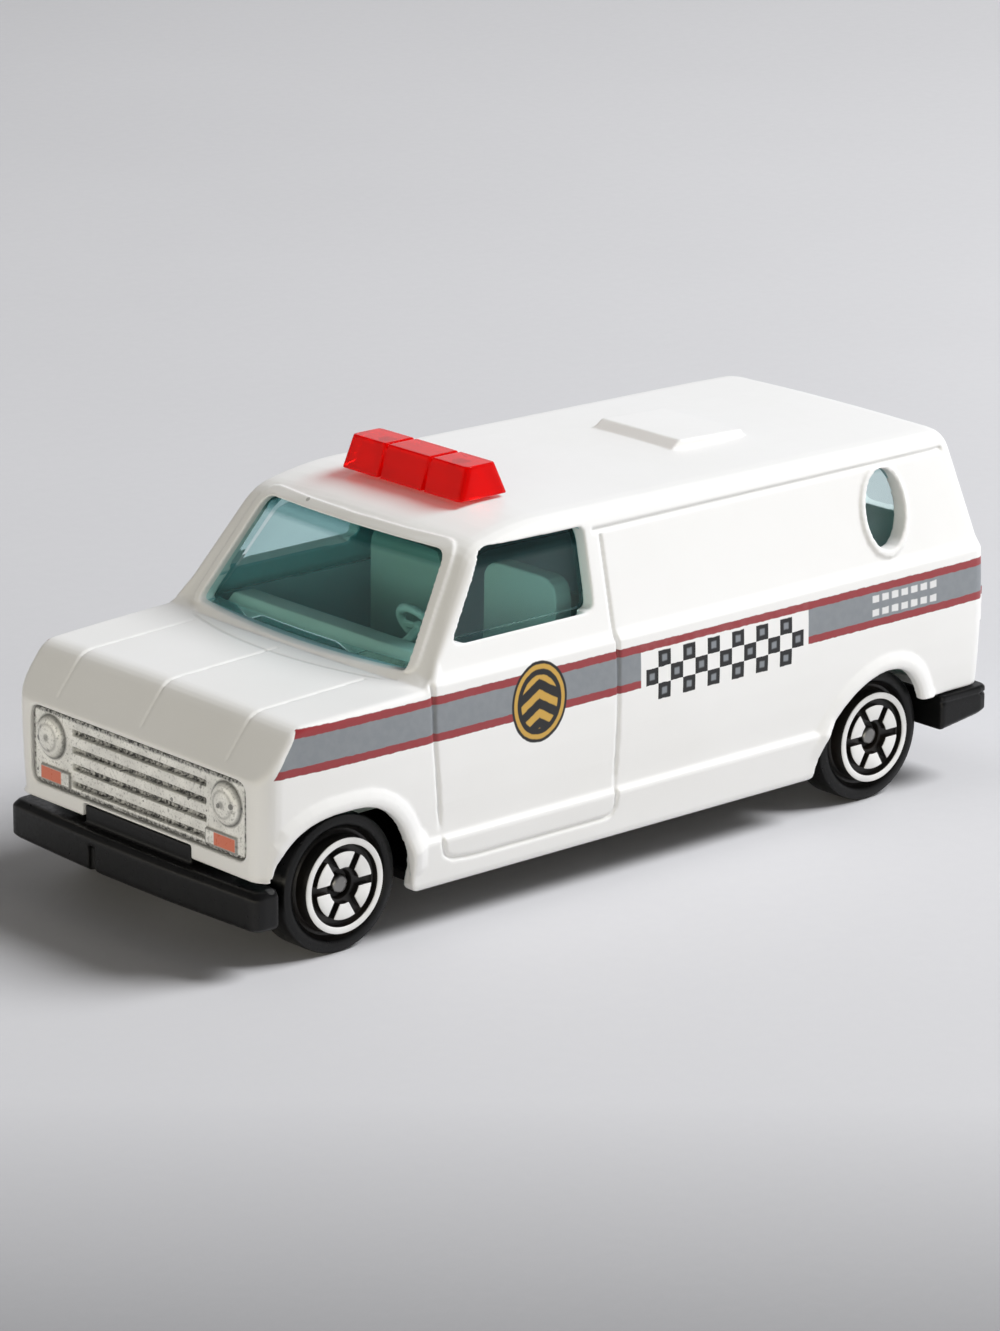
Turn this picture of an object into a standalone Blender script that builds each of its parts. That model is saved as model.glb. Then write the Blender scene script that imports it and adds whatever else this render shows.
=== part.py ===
"""A three-inch die-cast police van, modelled as the separate pieces it is put together from.

Sizes in this file are millimetres and the finished meshes are metres. +X is forward, +Y is the
van's left side and +Z is up. Heights below count from a level that lies AXLE_Z under the axles.
The finished van is lifted onto its tyres, so its origin is on the ground, under its middle.
"""

import math

import bmesh
import bpy
import numpy as np

MM = 0.001

# Whole van
LENGTH = 75.0
PANEL_HALF_WIDTH = 15.25
FRONT_OVERHANG = 8.95
REAR_OVERHANG = 12.05
FRONT_AXLE_X = LENGTH / 2 - FRONT_OVERHANG
REAR_AXLE_X = REAR_OVERHANG - LENGTH / 2

# Wheels and axles
AXLE_Z = 5.0
TYRE_RADIUS = 5.25
LIFT = TYRE_RADIUS - AXLE_Z
TYRE_WIDTH = 3.8
WHEEL_FACE_Y = PANEL_HALF_WIDTH - 0.9
WHEEL_SEGMENTS = 26
SIDEWALL_DEPTH = 0.6
DISH_DEPTH = 1.35
RING_RADIUS = 3.7
RING_WIDTH = 0.45
FACE_RECESS = 0.3
PAD_INNER_RADIUS = 1.4
PAD_OUTER_RADIUS = 2.8
SPOKES = 6
SPOKE_WIDTH = 0.55
AXLE_RADIUS = 0.6
AXLE_CLEARANCE = 0.06
HUB_WELL_RADIUS = 1.1
HUB_WELL_DEPTH = 0.7
AXLE_HEAD_LENGTH = 0.5
SUSPENSION_TRAVEL = 0.6
SPRING_THICKNESS = 0.3
SPRING_WIDTH = 3.0
SPRING_HALF_SPAN = WHEEL_FACE_Y - TYRE_WIDTH - 2.75

# Body casting, along the middle of the van
WALL = 1.2
NOSE_WALL = 2.2
REAR_WALL = 1.6
NOSE_X = LENGTH / 2 - 1.15
TAIL_X = -LENGTH / 2 + 0.45
SILL_Z = 3.0
ROOF_REAR_Z = 28.2
ROOF_FRONT_X = NOSE_X - 25.45
ROOF_FRONT_Z = 28.7
BROW_X = NOSE_X - 20.93
BROW_Z = 27.6
COWL_X = NOSE_X - 14.68
COWL_Z = 18.6
FOLD_X = NOSE_X - 2.95
FOLD_Z = 18.1
NOSE_TOP_Z = 14.3
SCREEN_BOW = 0.5
ROOF_CROWN = 0.35
HOOD_CROWN = 0.12
CROWN_HALF_WIDTH = PANEL_HALF_WIDTH - 3.25
ROOF_EDGE_DROP = 1.25
ROOF_EDGE_REACH = 2.0
HOOD_EDGE_DROP = 0.6
HOOD_EDGE_REACH = 0.8

# Body casting, across the van: half widths at heights, with the side panel swelling between
SIDE_LOW = (
    (3.0, PANEL_HALF_WIDTH - 0.95),
    (3.25, PANEL_HALF_WIDTH - 0.62),
    (3.6, PANEL_HALF_WIDTH - 0.5),
    (6.55, PANEL_HALF_WIDTH - 0.05),
    (6.8, PANEL_HALF_WIDTH - 0.07),
)
PANEL_MID_Z = 14.0
PANEL_SWELL = 0.4
PANEL_HALF_HEIGHT = 7.0
PANEL_LEVELS = (7.05, 9.4, 11.7, 14.0, 16.3, 18.5)
SIDE_HIGH = (
    (18.6, PANEL_HALF_WIDTH - 0.25),
    (18.95, PANEL_HALF_WIDTH - 0.55),
    (19.3, PANEL_HALF_WIDTH - 0.75),
    (26.3, PANEL_HALF_WIDTH - 2.3),
    (29.5, PANEL_HALF_WIDTH - 3.01),
)
# How far cutters reach through a side
CUT_INNER_Y = PANEL_HALF_WIDTH - 6.25
CUT_OUTER_Y = PANEL_HALF_WIDTH + 2.75
FRONT_TAPER = 0.55
FRONT_TAPER_X = NOSE_X - 14.35
NOSE_CORNER_RADIUS = 1.6
TAIL_TAPER = 0.2
TAIL_TAPER_X = TAIL_X + 7.05
TAIL_CORNER_RADIUS = 1.3
RAKE_SLOPE = 0.25
RAKE_Z = 19.0
RAKE_START_X = TAIL_X + 10.05

# Wheel arches: offset of the apex from the axle, foot height, top height, and for the two sides of
# the apex the reach and the power of the curve
FRONT_ARCH = (-0.2, 3.0, 10.95, 7.55, 2.7, 5.9, 2.3)
REAR_ARCH = (-0.4, 3.0, 10.58, 7.4, 1.75, 4.6, 2.5)
# The lip round an arch: distance outside the opening and height above the side panel
FLARE_LIP = ((1.7, -0.12), (1.2, 0.1), (0.65, 0.25), (0.2, 0.25), (-0.35, -0.02))
FLARE_BACK = ((-0.35, -0.83), (1.7, -0.77))
# For each lip end, front then rear: the heights between which the lip grows out of the panel
FRONT_FLARE_FADE = ((6.2, 9.5), (3.4, 6.2))
REAR_FLARE_FADE = ((3.4, 7.5), (0.0, 1.0))
FOOT_RADIUS = 0.9
POCKET_RADIUS = TYRE_RADIUS + 1.0
NOSE_SKIRT_Z = 6.7
TAIL_SKIRT_Z = 7.3

# Openings and relief of the casting
SCREEN_BOTTOM = (PANEL_HALF_WIDTH - 3.15, 19.02)
SCREEN_SAG = 0.33
SCREEN_TOP = (PANEL_HALF_WIDTH - 5.0, 26.78)
RIM_WIDTH = 0.85
RIM_HEIGHT = 0.2
DOOR_WINDOW = (
    (NOSE_X - 18.05, 20.95, 0.9),
    (NOSE_X - 32.05, 20.95, 0.8),
    (NOSE_X - 32.1, 27.1, 0.5),
    (NOSE_X - 22.2, 27.2, 0.8),
)
WINDOW_SILL_SLOPE = 0.4
PORTHOLE_X = TAIL_X + 10.5
PORTHOLE_Z = 23.15
PORTHOLE_WIDTH = 4.2
PORTHOLE_HEIGHT = 6.3
PORTHOLE_RIM = 0.5
GROOVE_WIDTH = 0.35
GROOVE_DEPTH = 0.22
GUTTER_Z = 26.62
GUTTER_FRONT_X = NOSE_X - 32.85
HATCH_FRONT_X = TAIL_X + 24.75
HATCH_LENGTH = 8.0
HATCH_WIDTH = 9.0
HATCH_HEIGHT = 0.6
TAIL_LAMP_Z = 12.2
TAIL_LAMP_HEIGHT = 3.0

# Nose and grille insert
GRILLE_HALF_WIDTH = PANEL_HALF_WIDTH - 2.6
GRILLE_BOTTOM_Z = 7.95
GRILLE_TOP_Z = 13.97
GRILLE_DEPTH = 1.2
GRILLE_SET_BACK = 0.25
GRILLE_CLEARANCE = 0.12
GRILLE_SLOT_Z = (12.75, 11.42, 10.09, 8.76)
GRILLE_SLOT_HEIGHT = 0.5
GRILLE_SLOT_HALF_WIDTH = GRILLE_HALF_WIDTH - 4.75
GRILLE_SLOT_DEPTH = 0.45
LAMP_Y = GRILLE_HALF_WIDTH - 2.35
LAMP_Z = 11.85
LAMP_RADIUS = 1.6
SIGNAL_INNER_Y = GRILLE_HALF_WIDTH - 4.65
SIGNAL_OUTER_Y = GRILLE_HALF_WIDTH - 1.15
SIGNAL_BOTTOM_Z = 8.35
SIGNAL_TOP_Z = 9.55
GRILLE_PEG_Y = 5.0
GRILLE_PEG_Z = 11.0
PEG_RADIUS = 0.7
PEG_CLEARANCE = 0.1

# Base plate and bumpers
PLATE_THICKNESS = 0.9
PLATE_TOP_Z = AXLE_Z - AXLE_RADIUS - 0.2
PLATE_Z = PLATE_TOP_Z - PLATE_THICKNESS
PLATE_HALF_WIDTH = PANEL_HALF_WIDTH - 2.05
SPINE_HALF_WIDTH = WHEEL_FACE_Y - TYRE_WIDTH - 0.65
SADDLE_THICKNESS = 1.0
SADDLE_LENGTH = 3.4
POST_RADIUS = 1.0
FRONT_BUMPER_HALF_WIDTH = PANEL_HALF_WIDTH - 0.65
FRONT_BUMPER_Z = 3.2
FRONT_BUMPER_HEIGHT = 3.0
FRONT_BUMPER_DEPTH = 2.7
FRONT_BUMPER_BOW = 0.5
RISER_HALF_WIDTH = 6.25
RISER_TOP_Z = 7.6
NOTCH_Y = -3.95
NOTCH_WIDTH = 0.8
REAR_BUMPER_HALF_WIDTH = PANEL_HALF_WIDTH - 0.05
REAR_BUMPER_Z = 4.3
REAR_BUMPER_TOP_Z = 7.15
REAR_BUMPER_DEPTH = 5.35
REAR_BUMPER_LIFT = 0.7
FRONT_RIVET_X = FRONT_AXLE_X + 3.45
REAR_RIVET_X = REAR_AXLE_X - 7.75
FOOT_PANEL_HALF_WIDTH = 5.2
FOOT_PANEL_HEIGHT = 0.45
RIVET_POST_RADIUS = 1.5
RIVET_SHANK_RADIUS = 0.8
RIVET_HEAD_RADIUS = 1.5
RIVET_HEAD_HEIGHT = 0.45
RIVET_GAP = 0.1

# Interior tray
TRAY_Z = 8.1
TRAY_FLOOR = 0.8
TRAY_HALF_WIDTH = PANEL_HALF_WIDTH - 1.95
TRAY_FRONT_X = NOSE_X - 15.95
TRAY_REAR_X = TAIL_X + 2.85
TONGUE_HALF_WIDTH = SPINE_HALF_WIDTH - 0.4
SEAT_BACK_X = NOSE_X - 32.95
SEAT_BACK_THICKNESS = 1.6
SEAT_LENGTH = 7.0
SEAT_INNER_Y = 2.4
SEAT_OUTER_Y = TRAY_HALF_WIDTH - 2.7
SEAT_Z = 12.6
SEAT_BACK_TOP_Z = 22.6
DASH_HALF_WIDTH = TRAY_HALF_WIDTH - 1.5
DASH_OUTLINE = (
    (NOSE_X - 21.55, 8.5),
    (NOSE_X - 21.55, 17.6),
    (NOSE_X - 20.75, 19.0),
    (NOSE_X - 18.85, 19.1),
    (NOSE_X - 17.45, 17.9),
    (NOSE_X - 17.45, 8.5),
)
STEERING_CENTRE = (NOSE_X - 22.35, PANEL_HALF_WIDTH - 9.45, 19.6)
STEERING_RADIUS = 2.0
STEERING_TUBE_RADIUS = 0.35
STEERING_TILT = math.radians(32)

# Glazing
GLASS_GAP = 0.12
GLASS_THICKNESS = 0.6
# The pane in a door window: its size to that of the opening, and how far it rises into it
PANE_FIT = 0.965
PANE_RISE = 0.35
# The pane in the windscreen: the gap round it, and how far it lies under the skin of the body
SCREEN_PANE_GAP = 0.1
SCREEN_PANE_DEPTH = 0.3
GLASS_FRONT_X = NOSE_X - 16.05
GLASS_REAR_X = TAIL_X + 6.25
GLASS_LOW_Z = 18.8

# Light bar
BAR_Z = 28.85
BAR_HEIGHT = 2.5
BAR_BASE_X = (NOSE_X - 29.95, NOSE_X - 25.2)
BAR_TOP_X = (NOSE_X - 28.9, NOSE_X - 26.1)
BAR_BASE_HALF_WIDTH = 6.85
BAR_TOP_HALF_WIDTH = 6.6
BAR_WALL = 0.7
BAR_GROOVE_Y = 2.5
BAR_GROOVE_WIDTH = 0.3
BAR_GROOVE_DEPTH = 0.3
BAR_PEG_X = NOSE_X - 27.55
BAR_PEG_Y = 4.2
BAR_PEG_LENGTH = 1.05

# Rear doors
DOOR_THICKNESS = 1.2
DOOR_BOTTOM_Z = 7.5
DOOR_STEP_Z = 18.2
DOOR_TOP_Z = 25.9
DOOR_UPPER_HALF_WIDTH = PANEL_HALF_WIDTH - 3.95
DOOR_TOP_HALF_WIDTH = PANEL_HALF_WIDTH - 5.05
DOOR_GAP = 0.14
# The chamfer that lets the upper edge of a door swing past the body
DOOR_EDGE_RELIEF = (0.38, 0.34)
HINGE_X = TAIL_X + 0.75
HINGE_Y = PANEL_HALF_WIDTH - 2.95
HINGE_RADIUS = 0.75
HINGE_COVE_RADIUS = 1.3
PIN_RADIUS = 0.4
PIN_CLEARANCE = 0.1
PIN_LENGTH = 1.2
TOP_PIN_LENGTH = 0.6
DOOR_PANE_INNER_Y = 1.6
DOOR_PANE_OUTER_Y = DOOR_UPPER_HALF_WIDTH - 2.0
DOOR_PANE_BOTTOM_Z = 19.8
DOOR_PANE_TOP_Z = 24.6

WHITE = (0.86, 0.86, 0.83)
BLACK = (0.02, 0.02, 0.022)
SILVER = (0.62, 0.63, 0.64)
STEEL = (0.55, 0.55, 0.55)
RED = (0.60, 0.012, 0.012)
TINT = (0.28, 0.55, 0.56)
IVORY = (0.78, 0.75, 0.62)


def clamp(value):
    return min(max(value, 0.0), 1.0)


def mix(low, high, share):
    return low + (high - low) * share


def cut_corner(before, corner, after, steps):
    """Points of the curve that replaces a corner (a, b, reach)."""
    here = np.array(corner[:2])
    if corner[2] <= 0:
        return [tuple(here)]
    back = np.array(before[:2]) - here
    ahead = np.array(after[:2]) - here
    start = here + back / np.linalg.norm(back) * corner[2]
    end = here + ahead / np.linalg.norm(ahead) * corner[2]
    found = []
    for u in np.linspace(0, 1, steps + 1):
        found.append(tuple((1 - u) ** 2 * start + 2 * u * (1 - u) * here + u**2 * end))
    return found


def rounded_path(corners, steps=4):
    path = [tuple(corners[0][:2])]
    for before, corner, after in zip(corners, corners[1:], corners[2:]):
        path += cut_corner(before, corner, after, steps)
    return path + [tuple(corners[-1][:2])]


def rounded_outline(corners, steps=3):
    path = []
    for i, corner in enumerate(corners):
        path += cut_corner(corners[i - 1], corner, corners[(i + 1) % len(corners)], steps)
    return path


TOP_PATH = rounded_path(
    (
        (TAIL_X, 0.0, 0),
        (TAIL_X, ROOF_REAR_Z, 1.5),
        (ROOF_FRONT_X, ROOF_FRONT_Z, 3.0),
        (BROW_X, BROW_Z, 1.2),
        (COWL_X, COWL_Z, 0.5),
        (FOLD_X, FOLD_Z, 0.9),
        (NOSE_X, NOSE_TOP_Z, 0.25),
        (NOSE_X, 0.0, 0),
    )
)[1:-1]
TOP_X = [point[0] for point in TOP_PATH]
TOP_Z = [point[1] for point in TOP_PATH]


def middle_height(x, depth):
    """Height of the top along the middle, or of the surface that lies this deep under it."""
    if depth == 0:
        return float(np.interp(x, TOP_X, TOP_Z))
    across = np.linspace(-depth, depth, 41)
    return float(np.min(np.interp(x + across, TOP_X, TOP_Z) - np.sqrt(depth**2 - across**2)))


def roof_share(height):
    """0 at the height of the hood, 1 at the height of the roof."""
    return clamp((height - COWL_Z) / (BROW_Z - COWL_Z))


def top_height(x, y, depth=0.0):
    bow = SCREEN_BOW * clamp((COWL_X + 5.3 - x) / 4)
    across = (y / CROWN_HALF_WIDTH) ** 2
    height = middle_height(x + bow * across, depth)
    return height - mix(HOOD_CROWN, ROOF_CROWN, roof_share(height)) * across


def half_width(z):
    if z <= SIDE_LOW[-1][0]:
        return float(np.interp(z, *zip(*SIDE_LOW)))
    if z >= SIDE_HIGH[0][0]:
        return float(np.interp(z, *zip(*SIDE_HIGH)))
    swell = PANEL_HALF_WIDTH - PANEL_SWELL * ((z - PANEL_MID_Z) / PANEL_HALF_HEIGHT) ** 2
    if z < PANEL_LEVELS[0]:
        return mix(SIDE_LOW[-1][1], swell, (z - SIDE_LOW[-1][0]) / (PANEL_LEVELS[0] - SIDE_LOW[-1][0]))
    return swell


def corner_inset(reach, radius):
    """How far a rounded corner draws the side in, this far from the end of the body."""
    if reach >= radius:
        return 0.0
    return radius - math.sqrt(max(radius**2 - (radius - reach) ** 2, 0.0))


def plan_inset(x):
    front = FRONT_TAPER * clamp((x - FRONT_TAPER_X) / (NOSE_X - FRONT_TAPER_X)) ** 2
    rear = TAIL_TAPER * clamp((x - TAIL_TAPER_X) / (TAIL_X - TAIL_TAPER_X)) ** 2
    nose = corner_inset(NOSE_X - x, NOSE_CORNER_RADIUS)
    return front + rear + nose + corner_inset(x - TAIL_X, TAIL_CORNER_RADIUS)


def side_y(x, z):
    return half_width(z) - plan_inset(x)


def raked(point):
    """The point moved forward with the slope of the upper tail."""
    x, y, z = point
    share = clamp((x - RAKE_START_X) / (TAIL_X - RAKE_START_X))
    smooth = share * share * (3 - 2 * share)
    return (x + RAKE_SLOPE * max(0.0, z - RAKE_Z) * smooth, y, z)


def half_section(x, depth, low_z):
    """(y, z) from the bottom of the left side up and over to the middle."""
    inset = plan_inset(x) + depth
    edge = top_height(x, CROWN_HALF_WIDTH, depth)
    share = roof_share(edge)
    turn = max(edge - mix(HOOD_EDGE_DROP, ROOF_EDGE_DROP, share), low_z + 0.05)
    levels = [level for level, _ in SIDE_LOW] + list(PANEL_LEVELS) + [level for level, _ in SIDE_HIGH]
    heights = [low_z] + [min(max(level, low_z), turn) for level in levels] + [turn]
    points = [(half_width(z) - inset, z) for z in heights]
    start = np.array(points[-1])
    end_y = start[0] - mix(HOOD_EDGE_REACH, ROOF_EDGE_REACH, share)
    corner = np.array((half_width(edge) - inset, max(edge, turn)))
    end = np.array((end_y, top_height(x, end_y, depth)))
    for u in (0.25, 0.5, 0.75, 1.0):
        points.append(tuple((1 - u) ** 2 * start + 2 * u * (1 - u) * corner + u**2 * end))
    for share in (0.75, 0.5, 0.25, 0.0):
        points.append((end_y * share, top_height(x, end_y * share, depth)))
    return points


def full_section(x, depth, low_z):
    half = half_section(x, depth, low_z)
    across = half + [(-y, z) for y, z in reversed(half[:-1])]
    return [raked((x, y, z)) for y, z in across]


def make(name, points, faces):
    mesh = bpy.data.meshes.new(name)
    mesh.from_pydata([tuple(map(float, point)) for point in points], [], faces)
    work = bmesh.new()
    work.from_mesh(mesh)
    bmesh.ops.remove_doubles(work, verts=work.verts, dist=1e-4)
    bmesh.ops.dissolve_degenerate(work, edges=work.edges, dist=1e-4)
    bmesh.ops.recalc_face_normals(work, faces=work.faces)
    work.to_mesh(mesh)
    work.free()
    made = bpy.data.objects.new(name, mesh)
    bpy.context.scene.collection.objects.link(made)
    return made


def loft(name, loops, ring=False, flat_ends=False):
    """A skin through closed loops of as many points each. Its ends are closed unless it is a ring."""
    count = len(loops[0])
    points = [point for loop in loops for point in loop]
    faces = []
    for i in range(len(loops) if ring else len(loops) - 1):
        here = i * count
        ahead = (i + 1) % len(loops) * count
        for j in range(count):
            k = (j + 1) % count
            faces.append((here + j, here + k, ahead + k, ahead + j))
    if ring:
        return make(name, points, faces)
    last = (len(loops) - 1) * count
    if flat_ends:
        faces += [tuple(range(count)), tuple(range(last, last + count))]
        return make(name, points, faces)
    for base in (0, last):
        for j in range(count // 2):
            ladder = [base + j, base + j + 1, base + count - 2 - j, base + count - 1 - j]
            faces.append(tuple(dict.fromkeys(ladder)))
    faces = [face for face in faces if len(face) > 2]
    return make(name, points, faces)


def prism_x(name, outline, x0, x1):
    return loft(name, [[(x, y, z) for y, z in outline] for x in (x0, x1)], flat_ends=True)


def prism_y(name, outline, y0, y1):
    return loft(name, [[(x, y, z) for x, z in outline] for y in (y0, y1)], flat_ends=True)


def prism_z(name, outline, z0, z1):
    return loft(name, [[(x, y, z) for x, y in outline] for z in (z0, z1)], flat_ends=True)


def box(name, x0, x1, y0, y1, z0, z1):
    return prism_z(name, ((x0, y0), (x1, y0), (x1, y1), (x0, y1)), z0, z1)


def circle(radius, segments, a=0.0, b=0.0):
    turns = [2 * math.pi * i / segments for i in range(segments)]
    return [(a + radius * math.cos(turn), b + radius * math.sin(turn)) for turn in turns]


def upright(name, x, y, radius, z0, z1, segments=16):
    return prism_z(name, circle(radius, segments, x, y), z0, z1)


def revolve_y(name, profile, segments):
    """A ring from a closed profile of (radius, y)."""
    loops = []
    for i in range(segments):
        turn = 2 * math.pi * i / segments
        loops.append([(r * math.sin(turn), y, r * math.cos(turn)) for r, y in profile])
    return loft(name, loops, ring=True)


def boolean(target, operation, *tools):
    """Applies the tools to the target one after the other, and removes them."""
    for tool in tools:
        modifier = target.modifiers.new(operation.lower(), "BOOLEAN")
        modifier.operation = operation
        modifier.solver = "MANIFOLD"
        modifier.object = tool
        graph = bpy.context.evaluated_depsgraph_get()
        mesh = bpy.data.meshes.new_from_object(target.evaluated_get(graph))
        target.modifiers.clear()
        target.data = mesh
        bpy.data.objects.remove(tool)
    return target


def join(target, *tools):
    return boolean(target, "UNION", *tools)


def cut(target, *tools):
    return boolean(target, "DIFFERENCE", *tools)


def arch_path(arch, axle_x, grow, steps=9):
    """(x, z) over a wheel arch from its front foot to its rear foot, grown outward."""
    offset, foot, top, front_reach, front_power, rear_reach, rear_power = arch
    apex = axle_x + offset
    rise = top - foot + grow
    path = []
    for i in range(steps + 1):
        turn = math.pi / 2 * i / steps
        reach = (front_reach + grow) * math.cos(turn) ** (2 / front_power)
        path.append((apex + reach, foot + rise * math.sin(turn) ** (2 / front_power)))
    for i in range(1, steps + 1):
        turn = math.pi / 2 * (1 - i / steps)
        reach = (rear_reach + grow) * math.cos(turn) ** (2 / rear_power)
        path.append((apex - reach, foot + rise * math.sin(turn) ** (2 / rear_power)))
    return path


def flare(arch, axle_x, fades, side):
    """The raised lip round a wheel arch, which grows out of the panel above its ends."""
    section = FLARE_LIP + FLARE_BACK
    paths = [arch_path(arch, axle_x, grow) for grow, _ in section]
    count = len(paths[0])
    loops = []
    for i in range(count):
        low, high = fades[0] if i < count / 2 else fades[1]
        share = clamp((paths[0][i][1] - low) / (high - low))
        share = share * share * (3 - 2 * share)
        loop = []
        for path, (_, raise_by) in zip(paths, section):
            x, z = path[i]
            x -= 0.85 * max(0.0, x - NOSE_X + 0.9)
            sunk = min(raise_by, FLARE_LIP[0][1])
            loop.append((x, side * (side_y(x, z) + mix(sunk, raise_by, share)), z))
        loops.append(loop)
    return loft("flare", loops, flat_ends=True)


def foot_rounding(x, z, side, forward):
    """Rounds the lower corner of the panel that meets a wheel arch at this point."""
    outline = [(x + forward, z - 1), (x - forward * FOOT_RADIUS, z - 1)]
    for i in range(7):
        turn = math.pi / 2 * i / 6
        along = FOOT_RADIUS * (math.sin(turn) - 1)
        outline.append((x + forward * along, z + FOOT_RADIUS * (1 - math.cos(turn))))
    outline.append((x + forward, z + FOOT_RADIUS))
    return prism_y("foot rounding", outline, side * CUT_INNER_Y, side * CUT_OUTER_Y)


def arch_foot(arch, axle_x, z, rear):
    """Where the edge of an arch has this height, on its front or its rear side."""
    path = arch_path(arch, axle_x, 0.0, 60)
    path = path[60:] if rear else path[:61]
    return min(path, key=lambda point: abs(point[1] - z))[0]


def arch_opening(arch, axle_x, side):
    path = arch_path(arch, axle_x, 0.0, 11)
    outline = [(path[0][0], -1.0)] + path + [(path[-1][0], -1.0)]
    return prism_y("arch opening", outline, side * CUT_INNER_Y, side * CUT_OUTER_Y)


def band(path, width):
    """Points to both sides of a path of (a, b), half the width away."""
    points = np.array(path, float)
    along = np.gradient(points, axis=0)
    along /= np.linalg.norm(along, axis=1)[:, None]
    off = np.stack([-along[:, 1], along[:, 0]], axis=1) * width / 2
    return points + off, points - off


def dense(path, step=1.2):
    """The same path with points added so that no span is longer than the step."""
    found = [path[0]]
    for start, end in zip(path, path[1:]):
        spans = max(1, math.ceil(math.dist(start, end) / step))
        for i in range(1, spans + 1):
            found.append((mix(start[0], end[0], i / spans), mix(start[1], end[1], i / spans)))
    return found


def side_groove(path, side, width=GROOVE_WIDTH, depth=GROOVE_DEPTH):
    """A cutter that draws a line of (x, z) points on one side of the body."""
    loops = []
    for (xa, za), (xb, zb) in zip(*band(path, width)):
        inner_a = side_y(xa, za) - depth
        inner_b = side_y(xb, zb) - depth
        quad = ((xa, inner_a, za), (xa, inner_a + 1.0, za), (xb, inner_b + 1.0, zb), (xb, inner_b, zb))
        loops.append([raked((x, side * y, z)) for x, y, z in quad])
    return loft("side groove", loops)


def top_groove(path, width=GROOVE_WIDTH, depth=GROOVE_DEPTH):
    """A cutter that draws a line of (x, y) points on the top of the body."""
    loops = []
    for (xa, ya), (xb, yb) in zip(*band(path, width)):
        low_a = top_height(xa, ya) - depth
        low_b = top_height(xb, yb) - depth
        loops.append([(xa, ya, low_a), (xa, ya, low_a + 1), (xb, yb, low_b + 1), (xb, yb, low_b)])
    return loft("top groove", loops)


def window_sill(side):
    """A wedge that slopes the sill of a door window down towards the inside."""
    (front_x, low_z, front_reach), (rear_x, _, rear_reach) = DOOR_WINDOW[:2]
    edge = half_width(low_z)
    deep = edge - WALL - 1.0
    drop = (edge - deep) * WINDOW_SILL_SLOPE
    outline = ((side * edge, low_z), (side * edge, low_z + 0.2))
    outline += ((side * deep, low_z + 0.2), (side * deep, low_z - drop))
    return prism_x("window sill", outline, rear_x + rear_reach, front_x - front_reach * 1.4)


def screen_outline(grow):
    """(y, z) round the windscreen opening, grown outward."""
    low_y = SCREEN_BOTTOM[0] + grow
    low_z = max(SCREEN_BOTTOM[1] - grow, COWL_Z + 0.35)
    high_y = SCREEN_TOP[0] + grow * 0.9
    high_z = SCREEN_TOP[1] + grow * 0.75
    radius = 0.9 + 0.6 * grow
    outline = cut_corner((low_y, low_z), (high_y, high_z, radius), (0, high_z), 4)
    outline += [(y, high_z) for y in (high_y * 0.5, 0.0, -high_y * 0.5)]
    outline += [(-y, z) for y, z in reversed(outline[:5])]
    low = cut_corner((-high_y, high_z), (-low_y, low_z, radius * 0.7), (0, low_z), 3)
    outline += low
    for y in np.linspace(-low_y, low_y, 9)[1:-1]:
        outline.append((y, low_z - SCREEN_SAG * (1 - (y / low_y) ** 2) * (1 if grow == 0 else 0.2)))
    return outline + [(-y, z) for y, z in reversed(low)]


def screen_x(y, z):
    """Where the windscreen's slope has this height."""
    near, far = BROW_X - 3, COWL_X + 1
    for _ in range(40):
        middle = (near + far) / 2
        if top_height(middle, y) > z:
            near = middle
        else:
            far = middle
    return near


def screen_rim():
    """The raised flat border round the windscreen."""
    lean = math.atan2(COWL_X - BROW_X, BROW_Z - COWL_Z)
    normal = np.array((math.cos(lean), 0.0, math.sin(lean)))
    inner = screen_outline(-0.02)
    outer = screen_outline(RIM_WIDTH)
    loops = []
    for (yi, zi), (yo, zo) in zip(inner, outer):
        at_inner = np.array((screen_x(yi, zi), yi, zi))
        at_outer = np.array((screen_x(yo, zo), yo, zo))
        loop = (
            at_inner - normal * 0.5,
            at_outer - normal * 0.5,
            at_outer + normal * RIM_HEIGHT,
            at_inner + normal * RIM_HEIGHT,
        )
        loops.append([tuple(point) for point in loop])
    return loft("screen rim", loops, ring=True)


def porthole_path(grow, segments=20):
    path = []
    for i in range(segments):
        turn = 2 * math.pi * i / segments
        a = (PORTHOLE_WIDTH / 2 + grow) * math.cos(turn)
        path.append((PORTHOLE_X + a, PORTHOLE_Z + (PORTHOLE_HEIGHT / 2 + grow) * math.sin(turn)))
    return path


def porthole_rim(side):
    loops = []
    for (xi, zi), (xo, zo) in zip(porthole_path(-0.02), porthole_path(PORTHOLE_RIM)):
        yi = side_y(xi, zi)
        yo = side_y(xo, zo)
        quad = ((xi, yi - 0.5, zi), (xo, yo - 0.5, zo), (xo, yo + 0.2, zo), (xi, yi + 0.2, zi))
        loops.append([raked((x, side * y, z)) for x, y, z in quad])
    return loft("porthole rim", loops, ring=True)


def outer_stations():
    found = set(TOP_X)
    found |= {NOSE_X - NOSE_CORNER_RADIUS * (1 - math.sin(math.pi / 2 * i / 5)) for i in range(6)}
    found |= {TAIL_X + TAIL_CORNER_RADIUS * (1 - math.sin(math.pi / 2 * i / 4)) for i in range(5)}
    found |= set(np.linspace(BROW_X, COWL_X, 7))
    found |= {RAKE_START_X} | {TAIL_X + reach for reach in (2.55, 6.05, 8.05, 22.05)}
    found |= {NOSE_X - reach for reach in (36.35, 12.35, 8.35, 5.35)}
    return thinned(found)


def thinned(stations, least=0.06):
    kept = []
    for x in sorted(stations):
        if not kept or x - kept[-1] > least:
            kept.append(x)
    return kept


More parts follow.
